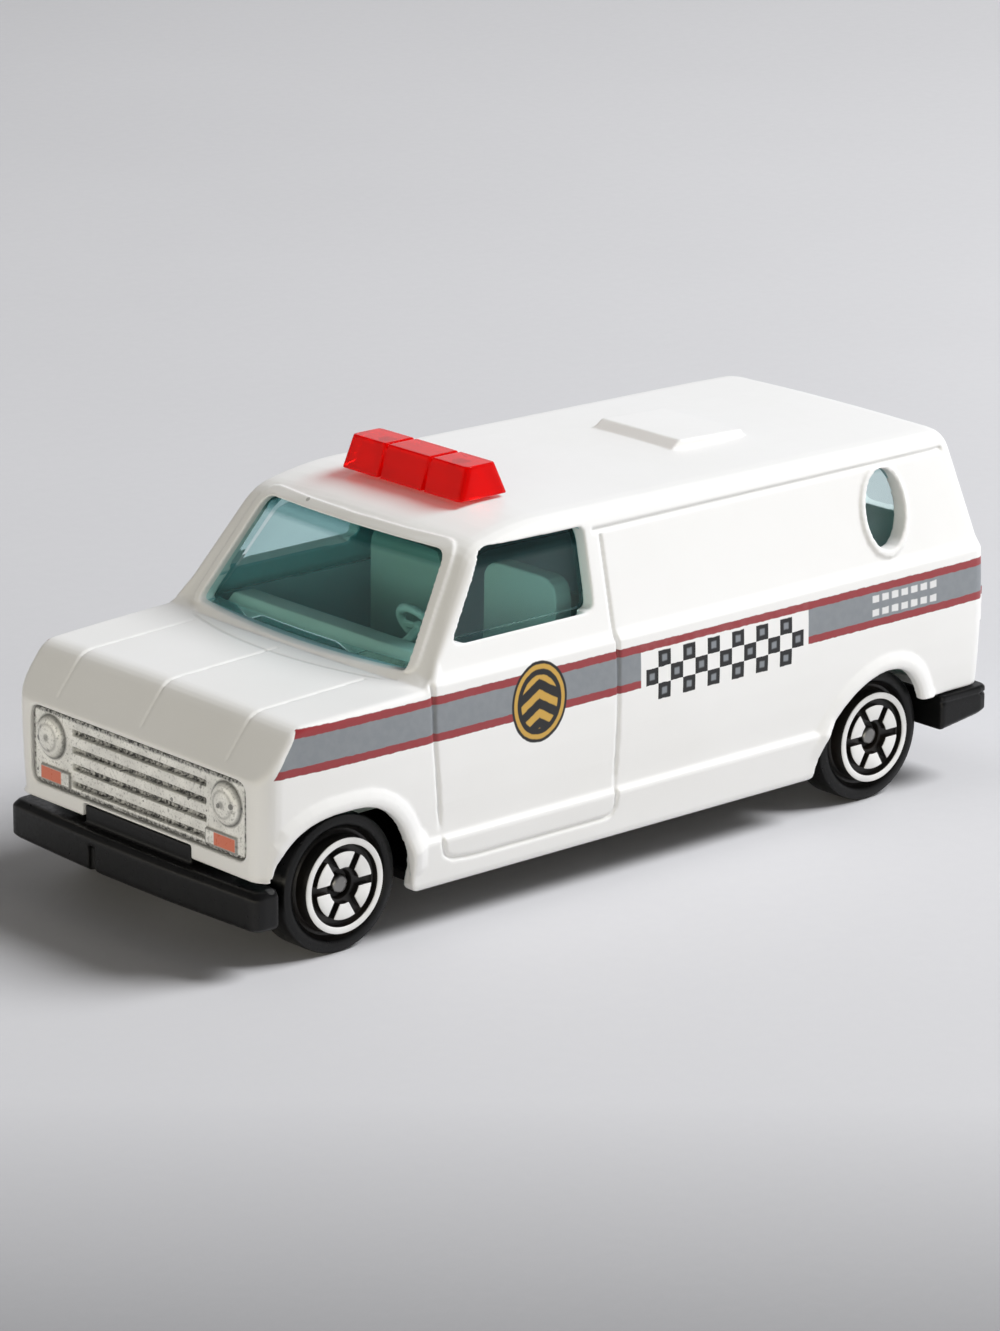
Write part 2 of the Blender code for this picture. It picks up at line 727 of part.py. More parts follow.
def inner_stations(rear, front):
    found = {rear, front, RAKE_START_X} | {TAIL_X + reach for reach in (3.05, 6.05, 8.05, 27.05)}
    found |= set(np.linspace(BROW_X - 6, COWL_X + 2, 17))
    found |= {NOSE_X - reach for reach in (31.35, 28.35, 11.35, 7.35, 4.85, 3.85)}
    return thinned(x for x in found if rear <= x <= front)


def sloped_prism(name, outline, x0, x1):
    """A prism along X whose upper part follows the slope of the tail."""
    loops = []
    for x in (x0, x1):
        loops.append([(x + RAKE_SLOPE * max(0.0, z - RAKE_Z), y, z) for y, z in outline])
    return loft(name, loops)


def tall_outline(half_low, half_high, bottom, step, top, corner):
    """(y, z) of an upright shape that narrows upward, as two equal rows for a ladder of faces."""
    rows = [(half_low, bottom), (half_low, step), (half_low, RAKE_Z)]
    for z in (20.5, 22.5):
        rows.append((mix(half_low, half_high, (z - RAKE_Z) / (top - RAKE_Z)), z))
    for i in range(5):
        turn = math.pi / 2 * i / 4
        z = top - corner + corner * math.sin(turn)
        edge = mix(half_low, half_high, (z - RAKE_Z) / (top - RAKE_Z))
        rows.append((edge - corner + corner * math.cos(turn), z))
    return rows


def doorway():
    upper = tall_outline(
        DOOR_UPPER_HALF_WIDTH + DOOR_GAP,
        DOOR_TOP_HALF_WIDTH + DOOR_GAP,
        0.0,
        DOOR_STEP_Z,
        DOOR_TOP_Z + DOOR_GAP,
        1.5,
    )
    outline = upper + [(-y, z) for y, z in reversed(upper)]
    cutters = [sloped_prism("doorway", outline, TAIL_X - 4, TAIL_X + REAR_WALL + 1)]
    lower = (TAIL_X - 4, TAIL_X + REAR_WALL + 1, -HINGE_Y, HINGE_Y, 0.0, DOOR_STEP_Z + DOOR_GAP)
    cutters.append(box("lower doorway", *lower))
    for side in (1, -1):
        top = DOOR_STEP_Z + DOOR_GAP
        cutters.append(upright("cove", HINGE_X, side * HINGE_Y, HINGE_COVE_RADIUS, 0.0, top, 20))
        hole_top = DOOR_STEP_Z + TOP_PIN_LENGTH + 0.2
        hole = PIN_RADIUS + PIN_CLEARANCE
        cutters.append(upright("pin hole", HINGE_X, side * HINGE_Y, hole, top - 0.3, hole_top, 12))
        edge = DOOR_UPPER_HALF_WIDTH + DOOR_GAP
        ahead, across = DOOR_EDGE_RELIEF
        relief = (
            (TAIL_X - ahead, side * (edge + 2 * across)),
            (TAIL_X + 2 * ahead, side * (edge - across)),
            (TAIL_X - ahead, side * (edge - across)),
        )
        cutters.append(prism_z("edge relief", relief, DOOR_STEP_Z - 0.5, RAKE_Z + 1.8))
    return cutters


def body_lines():
    """Cutters of the front doors, the gutters, the hood and the cowl."""
    door = (
        (NOSE_X - 15.5, 18.75, 0),
        (NOSE_X - 15.5, 14.5, 1.5),
        (NOSE_X - 16.65, 5.2, 1.2),
        (NOSE_X - 19.35, 4.9, 1.0),
        (NOSE_X - 30.35, 4.9, 1.0),
        (NOSE_X - 33.6, 4.9, 1.0),
        (NOSE_X - 33.6, 26.3, 0),
    )
    door_line = dense(rounded_path(door), 2.5)
    gutter = dense(((GUTTER_FRONT_X, GUTTER_Z), (TAIL_X + 1.6, GUTTER_Z)), 4.0)
    cutters = []
    for side in (1, -1):
        cutters.append(side_groove(door_line, side))
        cutters.append(side_groove(gutter, side, width=0.4))
    for y in (5.35 - PANEL_HALF_WIDTH, 0.0, PANEL_HALF_WIDTH - 5.35):
        cutters.append(top_groove(dense(((COWL_X + 1.2, y), (NOSE_X - 0.5, y)), 0.8), 0.3, 0.15))
    cowl = []
    for y in np.linspace(0.2 - CROWN_HALF_WIDTH, CROWN_HALF_WIDTH - 0.2, 13):
        cowl.append((COWL_X + 0.35 - SCREEN_BOW * (y / CROWN_HALF_WIDTH) ** 2, y))
    cutters.append(top_groove(cowl, 0.3, 0.15))
    return cutters


def rivet(x, post_z, gap_z):
    """A post that passes through the base plate and is spread under it."""
    head_top = PLATE_Z - RIVET_GAP
    levels = (
        (RIVET_HEAD_RADIUS * 0.7, head_top - RIVET_HEAD_HEIGHT),
        (RIVET_HEAD_RADIUS, head_top - RIVET_HEAD_HEIGHT * 0.45),
        (RIVET_HEAD_RADIUS, head_top),
        (RIVET_SHANK_RADIUS, head_top),
        (RIVET_SHANK_RADIUS, gap_z),
        (RIVET_POST_RADIUS, gap_z),
        (RIVET_POST_RADIUS, post_z),
    )
    loops = []
    for radius, z in levels:
        loops.append([(a, b, z) for a, b in circle(radius, 18, x)])
    return loft("rivet", loops, flat_ends=True)


def body_shell():
    body = loft("body_shell", [full_section(x, 0.0, SILL_Z) for x in outer_stations()])
    for side in (1, -1):
        join(body, flare(FRONT_ARCH, FRONT_AXLE_X, FRONT_FLARE_FADE, side))
        join(body, flare(REAR_ARCH, REAR_AXLE_X, REAR_FLARE_FADE, side))
        join(body, porthole_rim(side))
        lamp = sorted((side * (PANEL_HALF_WIDTH - 1.9), side * (PANEL_HALF_WIDTH - 1.05)))
        block = (TAIL_X - 0.25, TAIL_X + 0.8, *lamp, TAIL_LAMP_Z, TAIL_LAMP_Z + TAIL_LAMP_HEIGHT)
        join(body, box("tail lamp", *block))
    join(body, screen_rim())
    hatch_rear = HATCH_FRONT_X - HATCH_LENGTH
    hatch = [
        (HATCH_FRONT_X, top_height(HATCH_FRONT_X, HATCH_WIDTH / 2) - 0.05),
        (HATCH_FRONT_X - 1.1, top_height(HATCH_FRONT_X, 0) + HATCH_HEIGHT),
        (hatch_rear + 0.4, top_height(hatch_rear, 0) + HATCH_HEIGHT * 0.75),
        (hatch_rear, top_height(hatch_rear, HATCH_WIDTH / 2) - 0.05),
        (hatch_rear, ROOF_REAR_Z - 0.9),
        (HATCH_FRONT_X, ROOF_REAR_Z - 0.9),
    ]
    join(body, prism_y("hatch", hatch, -HATCH_WIDTH / 2, HATCH_WIDTH / 2))
    rear = TAIL_X + REAR_WALL
    front = NOSE_X - NOSE_WALL
    cut(body, loft("cavity", [full_section(x, WALL, -2.0) for x in inner_stations(rear, front)]))
    join(body, rivet(FRONT_RIVET_X, FOLD_Z - 0.6, PLATE_TOP_Z + RIVET_GAP))
    rib_z = TAIL_SKIRT_Z + 0.05
    rib_end = PANEL_HALF_WIDTH - 1.3
    rib = box("rear rib", REAR_RIVET_X - 1.1, REAR_RIVET_X + 1.1, -rib_end, rib_end, rib_z, rib_z + 0.7)
    join(body, join(rib, rivet(REAR_RIVET_X, rib_z + 0.7, rib_z - 0.01)))
    for side in (1, -1):
        cut(body, arch_opening(FRONT_ARCH, FRONT_AXLE_X, side), arch_opening(REAR_ARCH, REAR_AXLE_X, side))
        pocket_y = (side * (WHEEL_FACE_Y - TYRE_WIDTH - 0.7), side * (WHEEL_FACE_Y + 0.05))
        for axle_x in (FRONT_AXLE_X, REAR_AXLE_X):
            outline = circle(POCKET_RADIUS, 32, axle_x, AXLE_Z)
            cut(body, prism_y("wheel pocket", outline, *pocket_y))
        lower = sorted((side * (SPINE_HALF_WIDTH - 0.3), side * CUT_OUTER_Y))
        cut(body, box("nose skirt", FRONT_AXLE_X, NOSE_X + 2, *lower, 0.0, NOSE_SKIRT_Z))
        cut(body, box("tail skirt", TAIL_X - 2, REAR_AXLE_X, *lower, 0.0, TAIL_SKIRT_Z))
        sill_foot = arch_foot(FRONT_ARCH, FRONT_AXLE_X, SILL_Z + FOOT_RADIUS, True)
        cut(body, foot_rounding(sill_foot, SILL_Z, side, 1))
        cut(body, prism_y("door window", rounded_outline(DOOR_WINDOW), side * CUT_INNER_Y, side * CUT_OUTER_Y))
        cut(body, window_sill(side))
        cut(body, prism_y("porthole", porthole_path(0.0), side * CUT_INNER_Y, side * CUT_OUTER_Y))
    inward = SPINE_HALF_WIDTH - 0.2
    cut(body, box("nose skirt middle", NOSE_X - NOSE_WALL - 0.6, NOSE_X + 2, -inward, inward, 0.0, NOSE_SKIRT_Z))
    cut(body, box("tail skirt middle", TAIL_X - 2, TAIL_X + REAR_WALL + 0.4, -inward, inward, 0.0, TAIL_SKIRT_Z))
    cut(body, prism_x("windscreen", screen_outline(0.0), BROW_X - 5.5, COWL_X + 5))
    cut(body, *doorway())
    recess = [(y, z, 1.0) for y, z in grille_corners(0.0)]
    cut(body, prism_x("grille recess", rounded_outline(recess, 4), NOSE_X - GRILLE_DEPTH, NOSE_X + 3))
    notch = RISER_HALF_WIDTH + 0.12
    cut(body, box("riser notch", front - 0.6, NOSE_X + 2, -notch, notch, 0.0, RISER_TOP_Z + 0.1))
    for side in (1, -1):
        hole = circle(PEG_RADIUS + PEG_CLEARANCE, 14, side * GRILLE_PEG_Y, GRILLE_PEG_Z)
        cut(body, prism_x("grille hole", hole, front - 1, NOSE_X - 0.5))
        radius = PEG_RADIUS + PEG_CLEARANCE
        cut(body, upright("bar hole", BAR_PEG_X, side * BAR_PEG_Y, radius, BROW_Z - 2, BAR_Z + 1, 14))
    return cut(body, *body_lines())


def grille_corners(shrink):
    y = GRILLE_HALF_WIDTH - shrink
    low = GRILLE_BOTTOM_Z + shrink
    high = GRILLE_TOP_Z - shrink
    return ((y, low), (y, high), (-y, high), (-y, low))


def dome(y, z, radius, x, rise):
    """A round lens that faces forward."""
    levels = ((1.0, -0.3), (1.0, 0.25 * rise), (0.85, 0.65 * rise), (0.5, 0.92 * rise), (0.12, rise))
    loops = []
    for share, ahead in levels:
        loops.append([(x + ahead, a, b) for a, b in circle(radius * share, 18, y, z)])
    return loft("lens", loops, flat_ends=True)


def grille_insert():
    back = NOSE_X - GRILLE_DEPTH + 0.1
    face = NOSE_X - GRILLE_SET_BACK
    outline = [(y, z, 1.0) for y, z in grille_corners(GRILLE_CLEARANCE)]
    grille = prism_x("grille_insert", rounded_outline(outline, 4), back, face)
    for z in GRILLE_SLOT_Z:
        half = GRILLE_SLOT_HALF_WIDTH
        high = z + GRILLE_SLOT_HEIGHT / 2
        slot = box("slot", face - GRILLE_SLOT_DEPTH, face + 1, -half, half, high - GRILLE_SLOT_HEIGHT, high)
        cut(grille, slot)
    for side in (1, -1):
        join(grille, dome(side * LAMP_Y, LAMP_Z, LAMP_RADIUS, face, 0.6))
        across = sorted((side * SIGNAL_INNER_Y, side * SIGNAL_OUTER_Y))
        join(grille, box("signal", face - 0.3, face + 0.22, *across, SIGNAL_BOTTOM_Z, SIGNAL_TOP_Z))
        peg = circle(PEG_RADIUS, 14, side * GRILLE_PEG_Y, GRILLE_PEG_Z)
        join(grille, prism_x("peg", peg, NOSE_X - NOSE_WALL + 0.15, back + 0.2))
    return grille


def front_bumper():
    """A bowed bar with soft upper and lower edges and rounded ends."""
    front = LENGTH / 2
    top = FRONT_BUMPER_Z + FRONT_BUMPER_HEIGHT
    levels = ((FRONT_BUMPER_Z, 0.3), (FRONT_BUMPER_Z + 0.3, 0.0), (top - 0.45, 0.0), (top, 0.35))
    loops = []
    for z, inset in levels:
        half = FRONT_BUMPER_HALF_WIDTH - inset
        ahead = front - inset
        back = front - FRONT_BUMPER_DEPTH
        corners = (
            (back, -half, 0.3),
            (ahead - FRONT_BUMPER_BOW, -half, 0.8),
            (ahead, -half / 3, 3.0),
            (ahead, half / 3, 3.0),
            (ahead - FRONT_BUMPER_BOW, half, 0.8),
            (back, half, 0.3),
        )
        loops.append([(x, y, z) for x, y in rounded_outline(corners)])
    return loft("front bumper", loops, flat_ends=True)


def rear_bumper():
    """A block with rounded rear corners and a line along its sides near the top."""
    rear = -LENGTH / 2
    ahead = rear + REAR_BUMPER_DEPTH
    line = REAR_BUMPER_TOP_Z - 0.6
    levels = (
        (REAR_BUMPER_Z, 0.25),
        (REAR_BUMPER_Z + 0.3, 0.0),
        (line - 0.12, 0.0),
        (line - 0.08, 0.18),
        (line + 0.08, 0.18),
        (line + 0.12, 0.0),
        (REAR_BUMPER_TOP_Z - 0.15, 0.0),
        (REAR_BUMPER_TOP_Z, 0.15),
    )
    loops = []
    for z, inset in levels:
        half = REAR_BUMPER_HALF_WIDTH - inset
        corners = ((ahead, half, 0.3), (rear + inset, half, 1.0), (rear + inset, -half, 1.0), (ahead, -half, 0.3))
        rise = REAR_BUMPER_LIFT if z < line - 0.5 else 0.0
        outline = rounded_outline(corners)
        loops.append([(x, y, z + rise * (ahead - x) / REAR_BUMPER_DEPTH) for x, y in outline])
    return loft("rear bumper", loops, flat_ends=True)


def axle_slot(axle_x, side):
    """A slot with a round bottom, in which an axle end can rise."""
    radius = AXLE_RADIUS + AXLE_CLEARANCE
    outline = []
    for i in range(9):
        turn = math.pi + math.pi * i / 8
        outline.append((axle_x + radius * math.cos(turn), AXLE_Z + radius * math.sin(turn)))
    outline += [(axle_x + radius, AXLE_Z + 8), (axle_x - radius, AXLE_Z + 8)]
    y = sorted((side * (SPINE_HALF_WIDTH + 0.5), side * (SPINE_HALF_WIDTH - SADDLE_THICKNESS - 0.5)))
    return prism_y("axle slot", outline, *y)


def base_plate():
    rear = -LENGTH / 2 + 1.5
    front = LENGTH / 2 - 1.9
    pan_rear = REAR_AXLE_X + POCKET_RADIUS + 0.8
    pan_front = FRONT_AXLE_X - POCKET_RADIUS - 0.8
    half = ((rear, SPINE_HALF_WIDTH), (pan_rear, SPINE_HALF_WIDTH), (pan_rear, PLATE_HALF_WIDTH))
    half += ((pan_front, PLATE_HALF_WIDTH), (pan_front, SPINE_HALF_WIDTH), (front, SPINE_HALF_WIDTH))
    outline = list(half) + [(x, -y) for x, y in reversed(half)]
    base = prism_z("base_plate", outline, PLATE_Z, PLATE_TOP_Z)
    neck_x = (rear, -LENGTH / 2 + REAR_BUMPER_DEPTH - 0.4)
    neck_z = (PLATE_TOP_Z - 0.3, REAR_BUMPER_Z + 1.4)
    join(base, box("neck", *neck_x, -SPINE_HALF_WIDTH + 0.3, SPINE_HALF_WIDTH - 0.3, *neck_z))
    join(base, front_bumper(), rear_bumper())
    riser_face = NOSE_X - 0.15
    riser_back = LENGTH / 2 - FRONT_BUMPER_DEPTH + 0.1
    lower = FRONT_BUMPER_Z + 1.0
    riser = (riser_back, riser_face, -RISER_HALF_WIDTH, RISER_HALF_WIDTH, lower, RISER_TOP_Z)
    join(base, box("riser", *riser))
    notch = (LENGTH / 2 - 0.5, LENGTH, NOTCH_Y - NOTCH_WIDTH / 2, NOTCH_Y + NOTCH_WIDTH / 2)
    cut(base, box("notch", *notch, 0.0, FRONT_BUMPER_Z + 2.0))
    saddle_top = AXLE_Z + AXLE_RADIUS + SUSPENSION_TRAVEL + 0.6
    for axle_x in (FRONT_AXLE_X, REAR_AXLE_X):
        for side in (1, -1):
            y = sorted((side * SPINE_HALF_WIDTH, side * (SPINE_HALF_WIDTH - SADDLE_THICKNESS)))
            x = (axle_x - SADDLE_LENGTH / 2, axle_x + SADDLE_LENGTH / 2)
            join(base, box("saddle", *x, *y, PLATE_TOP_Z - 0.3, saddle_top))
            cut(base, axle_slot(axle_x, side))
    for x in (pan_rear + 4, pan_front - 6):
        for side in (1, -1):
            y = side * (SPINE_HALF_WIDTH - 1.4)
            join(base, upright("post", x, y, POST_RADIUS, PLATE_TOP_Z - 0.3, TRAY_Z - 0.1, 14))
    panel = (pan_rear + 1, pan_front - 1, -FOOT_PANEL_HALF_WIDTH, FOOT_PANEL_HALF_WIDTH)
    join(base, box("panel", *panel, PLATE_Z - FOOT_PANEL_HEIGHT, PLATE_Z + 0.3))
    for x in (FRONT_RIVET_X, REAR_RIVET_X):
        hole = RIVET_SHANK_RADIUS + RIVET_GAP
        cut(base, upright("rivet hole", x, 0, hole, 0.0, REAR_BUMPER_TOP_Z + 2, 18))
    relief = REAR_BUMPER_TOP_Z + 2
    head_room = RIVET_HEAD_RADIUS + 0.3
    cut(base, upright("post room", REAR_RIVET_X, 0, head_room, PLATE_TOP_Z, relief, 18))
    for side in (1, -1):
        hole = PIN_RADIUS + PIN_CLEARANCE
        depth = DOOR_BOTTOM_Z - PIN_LENGTH - 0.2
        cut(base, upright("pin hole", HINGE_X, side * HINGE_Y, hole, depth, relief, 12))
    return base


def door_pane(side):
    """The raised pane that fills the opening of a door window."""
    outline = np.array(rounded_outline(DOOR_WINDOW))
    middle = outline.mean(axis=0)
    front = WALL + GLASS_GAP - PANE_RISE
    back = WALL + GLASS_GAP + GLASS_THICKNESS * 0.9
    loops = []
    for depth in (front, back):
        loops.append([(x, side * (side_y(x, z) - depth), z) for x, z in middle + (outline - middle) * PANE_FIT])
    return loft("door pane", loops, flat_ends=True)


def screen_pane():
    """The raised pane that fills the opening of the windscreen."""
    level = math.cos(math.atan2(COWL_X - BROW_X, BROW_Z - COWL_Z))
    outline = screen_outline(-SCREEN_PANE_GAP)
    loops = []
    for depth in (SCREEN_PANE_DEPTH, WALL + GLASS_GAP + GLASS_THICKNESS * 0.9):
        loops.append([(screen_x(y, z) - depth / level, y, z) for y, z in outline])
    return loft("screen pane", loops, flat_ends=True)


def glazing():
    outer = WALL + GLASS_GAP
    inner = outer + GLASS_THICKNESS
    loops = []
    for x in inner_stations(GLASS_REAR_X, GLASS_FRONT_X):
        low = min(GLASS_LOW_Z, top_height(x, CROWN_HALF_WIDTH, inner) - 0.8)
        skin = full_section(x, outer, low)
        lining = full_section(x, inner, low)
        loops.append(skin + lining[::-1])
    glass = loft("glazing", loops)
    for side in (-1, 1):
        join(glass, door_pane(side))
    return join(glass, screen_pane())


def steering_wheel():
    """A tilted ring on a column with two flat spokes."""
    x, y, z = STEERING_CENTRE
    ahead = np.array((math.cos(STEERING_TILT), 0.0, -math.sin(STEERING_TILT)))
    upward = np.array((math.sin(STEERING_TILT), 0.0, math.cos(STEERING_TILT)))
    across = np.array((0.0, 1.0, 0.0))
    centre = np.array((x, y, z))
    loops = []
    for i in range(18):
        turn = 2 * math.pi * i / 18
        out = across * math.cos(turn) + upward * math.sin(turn)
        loop = []
        for a, b in circle(STEERING_TUBE_RADIUS, 8):
            loop.append(tuple(centre + out * (STEERING_RADIUS + a) + ahead * b))
        loops.append(loop)
    wheel = loft("steering wheel", loops, ring=True)
    loops = []
    for reach, radius in ((-0.25, 0.55), (0.3, 0.55), (0.3, 0.4), (4.2, 0.4)):
        ring = circle(radius, 10)
        loops.append([tuple(centre + ahead * reach + across * a + upward * b) for a, b in ring])
    column = loft("column", loops, flat_ends=True)
    loops = []
    for end in (-STEERING_RADIUS, STEERING_RADIUS):
        quad = ((-0.14, -0.3), (0.16, -0.3), (0.16, 0.3), (-0.14, 0.3))
        loops.append([tuple(centre + across * end + ahead * a + upward * b) for a, b in quad])
    return join(column, loft("spokes", loops), wheel)


def interior_tray():
    tongue_front = FRONT_RIVET_X - RIVET_POST_RADIUS - 0.4
    notch_rear = REAR_AXLE_X - POCKET_RADIUS - 0.4
    notch_front = REAR_AXLE_X + POCKET_RADIUS + 0.4
    half = ((TRAY_REAR_X, TRAY_HALF_WIDTH), (notch_rear, TRAY_HALF_WIDTH), (notch_rear, TONGUE_HALF_WIDTH))
    half += ((notch_front, TONGUE_HALF_WIDTH), (notch_front, TRAY_HALF_WIDTH), (TRAY_FRONT_X, TRAY_HALF_WIDTH))
    half += ((TRAY_FRONT_X, TONGUE_HALF_WIDTH), (tongue_front, TONGUE_HALF_WIDTH))
    outline = list(half) + [(x, -y) for x, y in reversed(half)]
    floor_z = TRAY_Z + TRAY_FLOOR
    tray = prism_z("interior_tray", outline, TRAY_Z, floor_z)
    box_low = AXLE_Z + POCKET_RADIUS + 0.2
    for side in (1, -1):
        wall = sorted((side * (TONGUE_HALF_WIDTH - 0.8), side * TONGUE_HALF_WIDTH))
        join(tray, box("box wall", notch_rear, notch_front, *wall, TRAY_Z + 0.2, box_low + 0.8))
        lid = sorted((side * (TONGUE_HALF_WIDTH - 0.4), side * TRAY_HALF_WIDTH))
        join(tray, box("box lid", notch_rear - 0.4, notch_front + 0.4, *lid, box_low, box_low + 0.8))
        for x in (notch_rear - 0.8, notch_front):
            end = sorted((side * (TONGUE_HALF_WIDTH - 0.4), side * TRAY_HALF_WIDTH))
            join(tray, box("box end", x, x + 0.8, *end, TRAY_Z + 0.2, box_low + 0.8))
        seat = sorted((side * SEAT_INNER_Y, side * SEAT_OUTER_Y))
        cushion_front = SEAT_BACK_X + SEAT_LENGTH
        join(tray, box("cushion", SEAT_BACK_X + 0.5, cushion_front, *seat, floor_z - 0.3, SEAT_Z))
        back = ((seat[0], floor_z - 0.3, 0), (seat[1], floor_z - 0.3, 0))
        back += ((seat[1], SEAT_BACK_TOP_Z, 1.8), (seat[0], SEAT_BACK_TOP_Z, 1.8))
        upright_back = prism_x("seat back", rounded_outline(back, 4), SEAT_BACK_X, SEAT_BACK_X + SEAT_BACK_THICKNESS)
        join(tray, upright_back)
    join(tray, prism_y("dash", DASH_OUTLINE, -DASH_HALF_WIDTH, DASH_HALF_WIDTH))
    return join(tray, steering_wheel())


def light_bar():
    def shell(inset, z0, z1):
        loops = []
        for z, (x0, x1), half in ((z0, BAR_BASE_X, BAR_BASE_HALF_WIDTH), (z1, BAR_TOP_X, BAR_TOP_HALF_WIDTH)):
            corners = ((x0 + inset, -half + inset), (x1 - inset, -half + inset))
            corners += ((x1 - inset, half - inset), (x0 + inset, half - inset))
            loops.append([(x, y, z) for x, y in rounded_outline([(x, y, 0.4) for x, y in corners], 3)])
        return loft("light_bar", loops, flat_ends=True)

    top = BAR_Z + BAR_HEIGHT
    bar = shell(0.0, BAR_Z, top)
    for side in (1, -1):
        middle = side * BAR_GROOVE_Y
        y0 = middle - BAR_GROOVE_WIDTH / 2
        y1 = middle + BAR_GROOVE_WIDTH / 2
        cut(bar, box("groove", BAR_BASE_X[0] - 1, BAR_BASE_X[1] + 1, y0, y1, top - BAR_GROOVE_DEPTH, top + 1))
        for sign, low, high in ((-1, BAR_BASE_X[0], BAR_TOP_X[0]), (1, BAR_BASE_X[1], BAR_TOP_X[1])):
            inward = -sign * BAR_GROOVE_DEPTH
            outline = ((low + inward, BAR_Z - 0.5), (high + inward, top + 0.5))
            outline += ((high + sign * 3, top + 0.5), (low + sign * 3, BAR_Z - 0.5))
            cut(bar, prism_y("groove", outline, y0, y1))
    cut(bar, shell(BAR_WALL, BAR_Z - 0.4, top - BAR_WALL))
    for side in (1, -1):
        foot = BAR_Z - BAR_PEG_LENGTH
        join(bar, upright("peg", BAR_PEG_X, side * BAR_PEG_Y, PEG_RADIUS, foot, top - 0.4, 14))
    return bar


def rear_door(name, side):
    outer = TAIL_X
    inner = TAIL_X + DOOR_THICKNESS
    edge = tall_outline(DOOR_UPPER_HALF_WIDTH, DOOR_TOP_HALF_WIDTH, DOOR_STEP_Z - 1.5, DOOR_STEP_Z, DOOR_TOP_Z, 1.4)
    outline = [(side * y, z) for y, z in edge] + [(side * DOOR_GAP / 2, z) for _, z in reversed(edge)]
    door = sloped_prism(name, outline, outer, inner)
    lower = sorted((side * DOOR_GAP / 2, side * HINGE_Y))
    join(door, box("lower panel", outer, inner, *lower, DOOR_BOTTOM_Z, DOOR_STEP_Z))
    join(door, upright("barrel", HINGE_X, side * HINGE_Y, HINGE_RADIUS, DOOR_BOTTOM_Z, DOOR_STEP_Z, 20))
    y = side * HINGE_Y
    join(door, upright("lower pin", HINGE_X, y, PIN_RADIUS, DOOR_BOTTOM_Z - PIN_LENGTH, DOOR_BOTTOM_Z + 0.5, 12))
    join(door, upright("upper pin", HINGE_X, y, PIN_RADIUS, DOOR_STEP_Z - 0.5, DOOR_STEP_Z + TOP_PIN_LENGTH, 12))
    pane = (
        (side * DOOR_PANE_INNER_Y, DOOR_PANE_BOTTOM_Z, 0.7),
        (side * DOOR_PANE_OUTER_Y, DOOR_PANE_BOTTOM_Z, 0.7),
        (side * (DOOR_PANE_OUTER_Y - 0.7), DOOR_PANE_TOP_Z, 0.7),
        (side * DOOR_PANE_INNER_Y, DOOR_PANE_TOP_Z, 0.7),
    )
    cut(door, prism_x("pane", rounded_outline(pane), TAIL_X - 2, TAIL_X + 6))
    handle = sorted((side * 0.9, side * 1.7))
    return join(door, box("handle", outer - 0.3, outer + 0.3, *handle, 13.4, 15.6))


def wheel_pads():
    """The raised pads between spokes of even width, as closed outlines of (x, z)."""
    outlines = []
    for i in range(SPOKES):
        middle = 2 * math.pi * i / SPOKES
        half = math.pi / SPOKES
        outline = []
        for radius, turns in ((PAD_OUTER_RADIUS, (-1, -0.33, 0.33, 1)), (PAD_INNER_RADIUS, (1, 0.33, -0.33, -1))):
            reach = half - math.asin(SPOKE_WIDTH / 2 / radius)
            for share in turns:
                turn = middle + share * reach
                outline.append((radius * math.sin(turn), radius * math.cos(turn)))
        outlines.append(outline)
    return outlines


def wheel(name):
    """A left wheel about the Y axis, its outer face at y = 0."""
    bore = AXLE_RADIUS + AXLE_CLEARANCE
    tread = TYRE_RADIUS
    back = -TYRE_WIDTH
    well_floor = -FACE_RECESS - HUB_WELL_DEPTH
    profile = (
        (bore, back + 0.2),
        (bore + 0.95, back + 0.2),
        (bore + 0.95, back + 1.2),
        (tread - 1.1, back + 1.2),
        (tread - 0.9, back),
        (tread - 0.25, back),
        (tread, back + 0.3),
        (tread, -SIDEWALL_DEPTH - 0.35),
        (tread - 0.12, -SIDEWALL_DEPTH - 0.1),
        (tread - 0.4, -SIDEWALL_DEPTH),
        (tread - 0.85, -SIDEWALL_DEPTH - 0.05),
        (tread - 1.1, -SIDEWALL_DEPTH - 0.35),
        (RING_RADIUS + 0.1, -DISH_DEPTH),
        (RING_RADIUS, 0.0),
        (RING_RADIUS - RING_WIDTH, 0.0),
        (RING_RADIUS - RING_WIDTH - 0.1, -FACE_RECESS),
        (HUB_WELL_RADIUS, -FACE_RECESS),
        (HUB_WELL_RADIUS, well_floor),
        (bore, well_floor),
    )
    disc = revolve_y(name, profile, WHEEL_SEGMENTS)
    for outline in wheel_pads():
        join(disc, prism_y("pad", outline, -FACE_RECESS - 0.3, -0.05))
    return disc


def axle(name):
    """A pin along Y with a head inside each hub."""
    well_y = WHEEL_FACE_Y - FACE_RECESS - HUB_WELL_DEPTH
    head_start = well_y + 0.05
    head_end = head_start + AXLE_HEAD_LENGTH
    head = AXLE_RADIUS + 0.12
    half = ((AXLE_RADIUS, 0.0), (AXLE_RADIUS, head_start), (head, head_start))
    half += ((head, head_end - 0.12), (head - 0.15, head_end))
    levels = [(radius, -y) for radius, y in reversed(half)] + list(half[1:])
    loops = []
    for radius, y in levels:
        loops.append([(a, y, b) for a, b in circle(radius, 20)])
    return loft(name, loops, flat_ends=True)


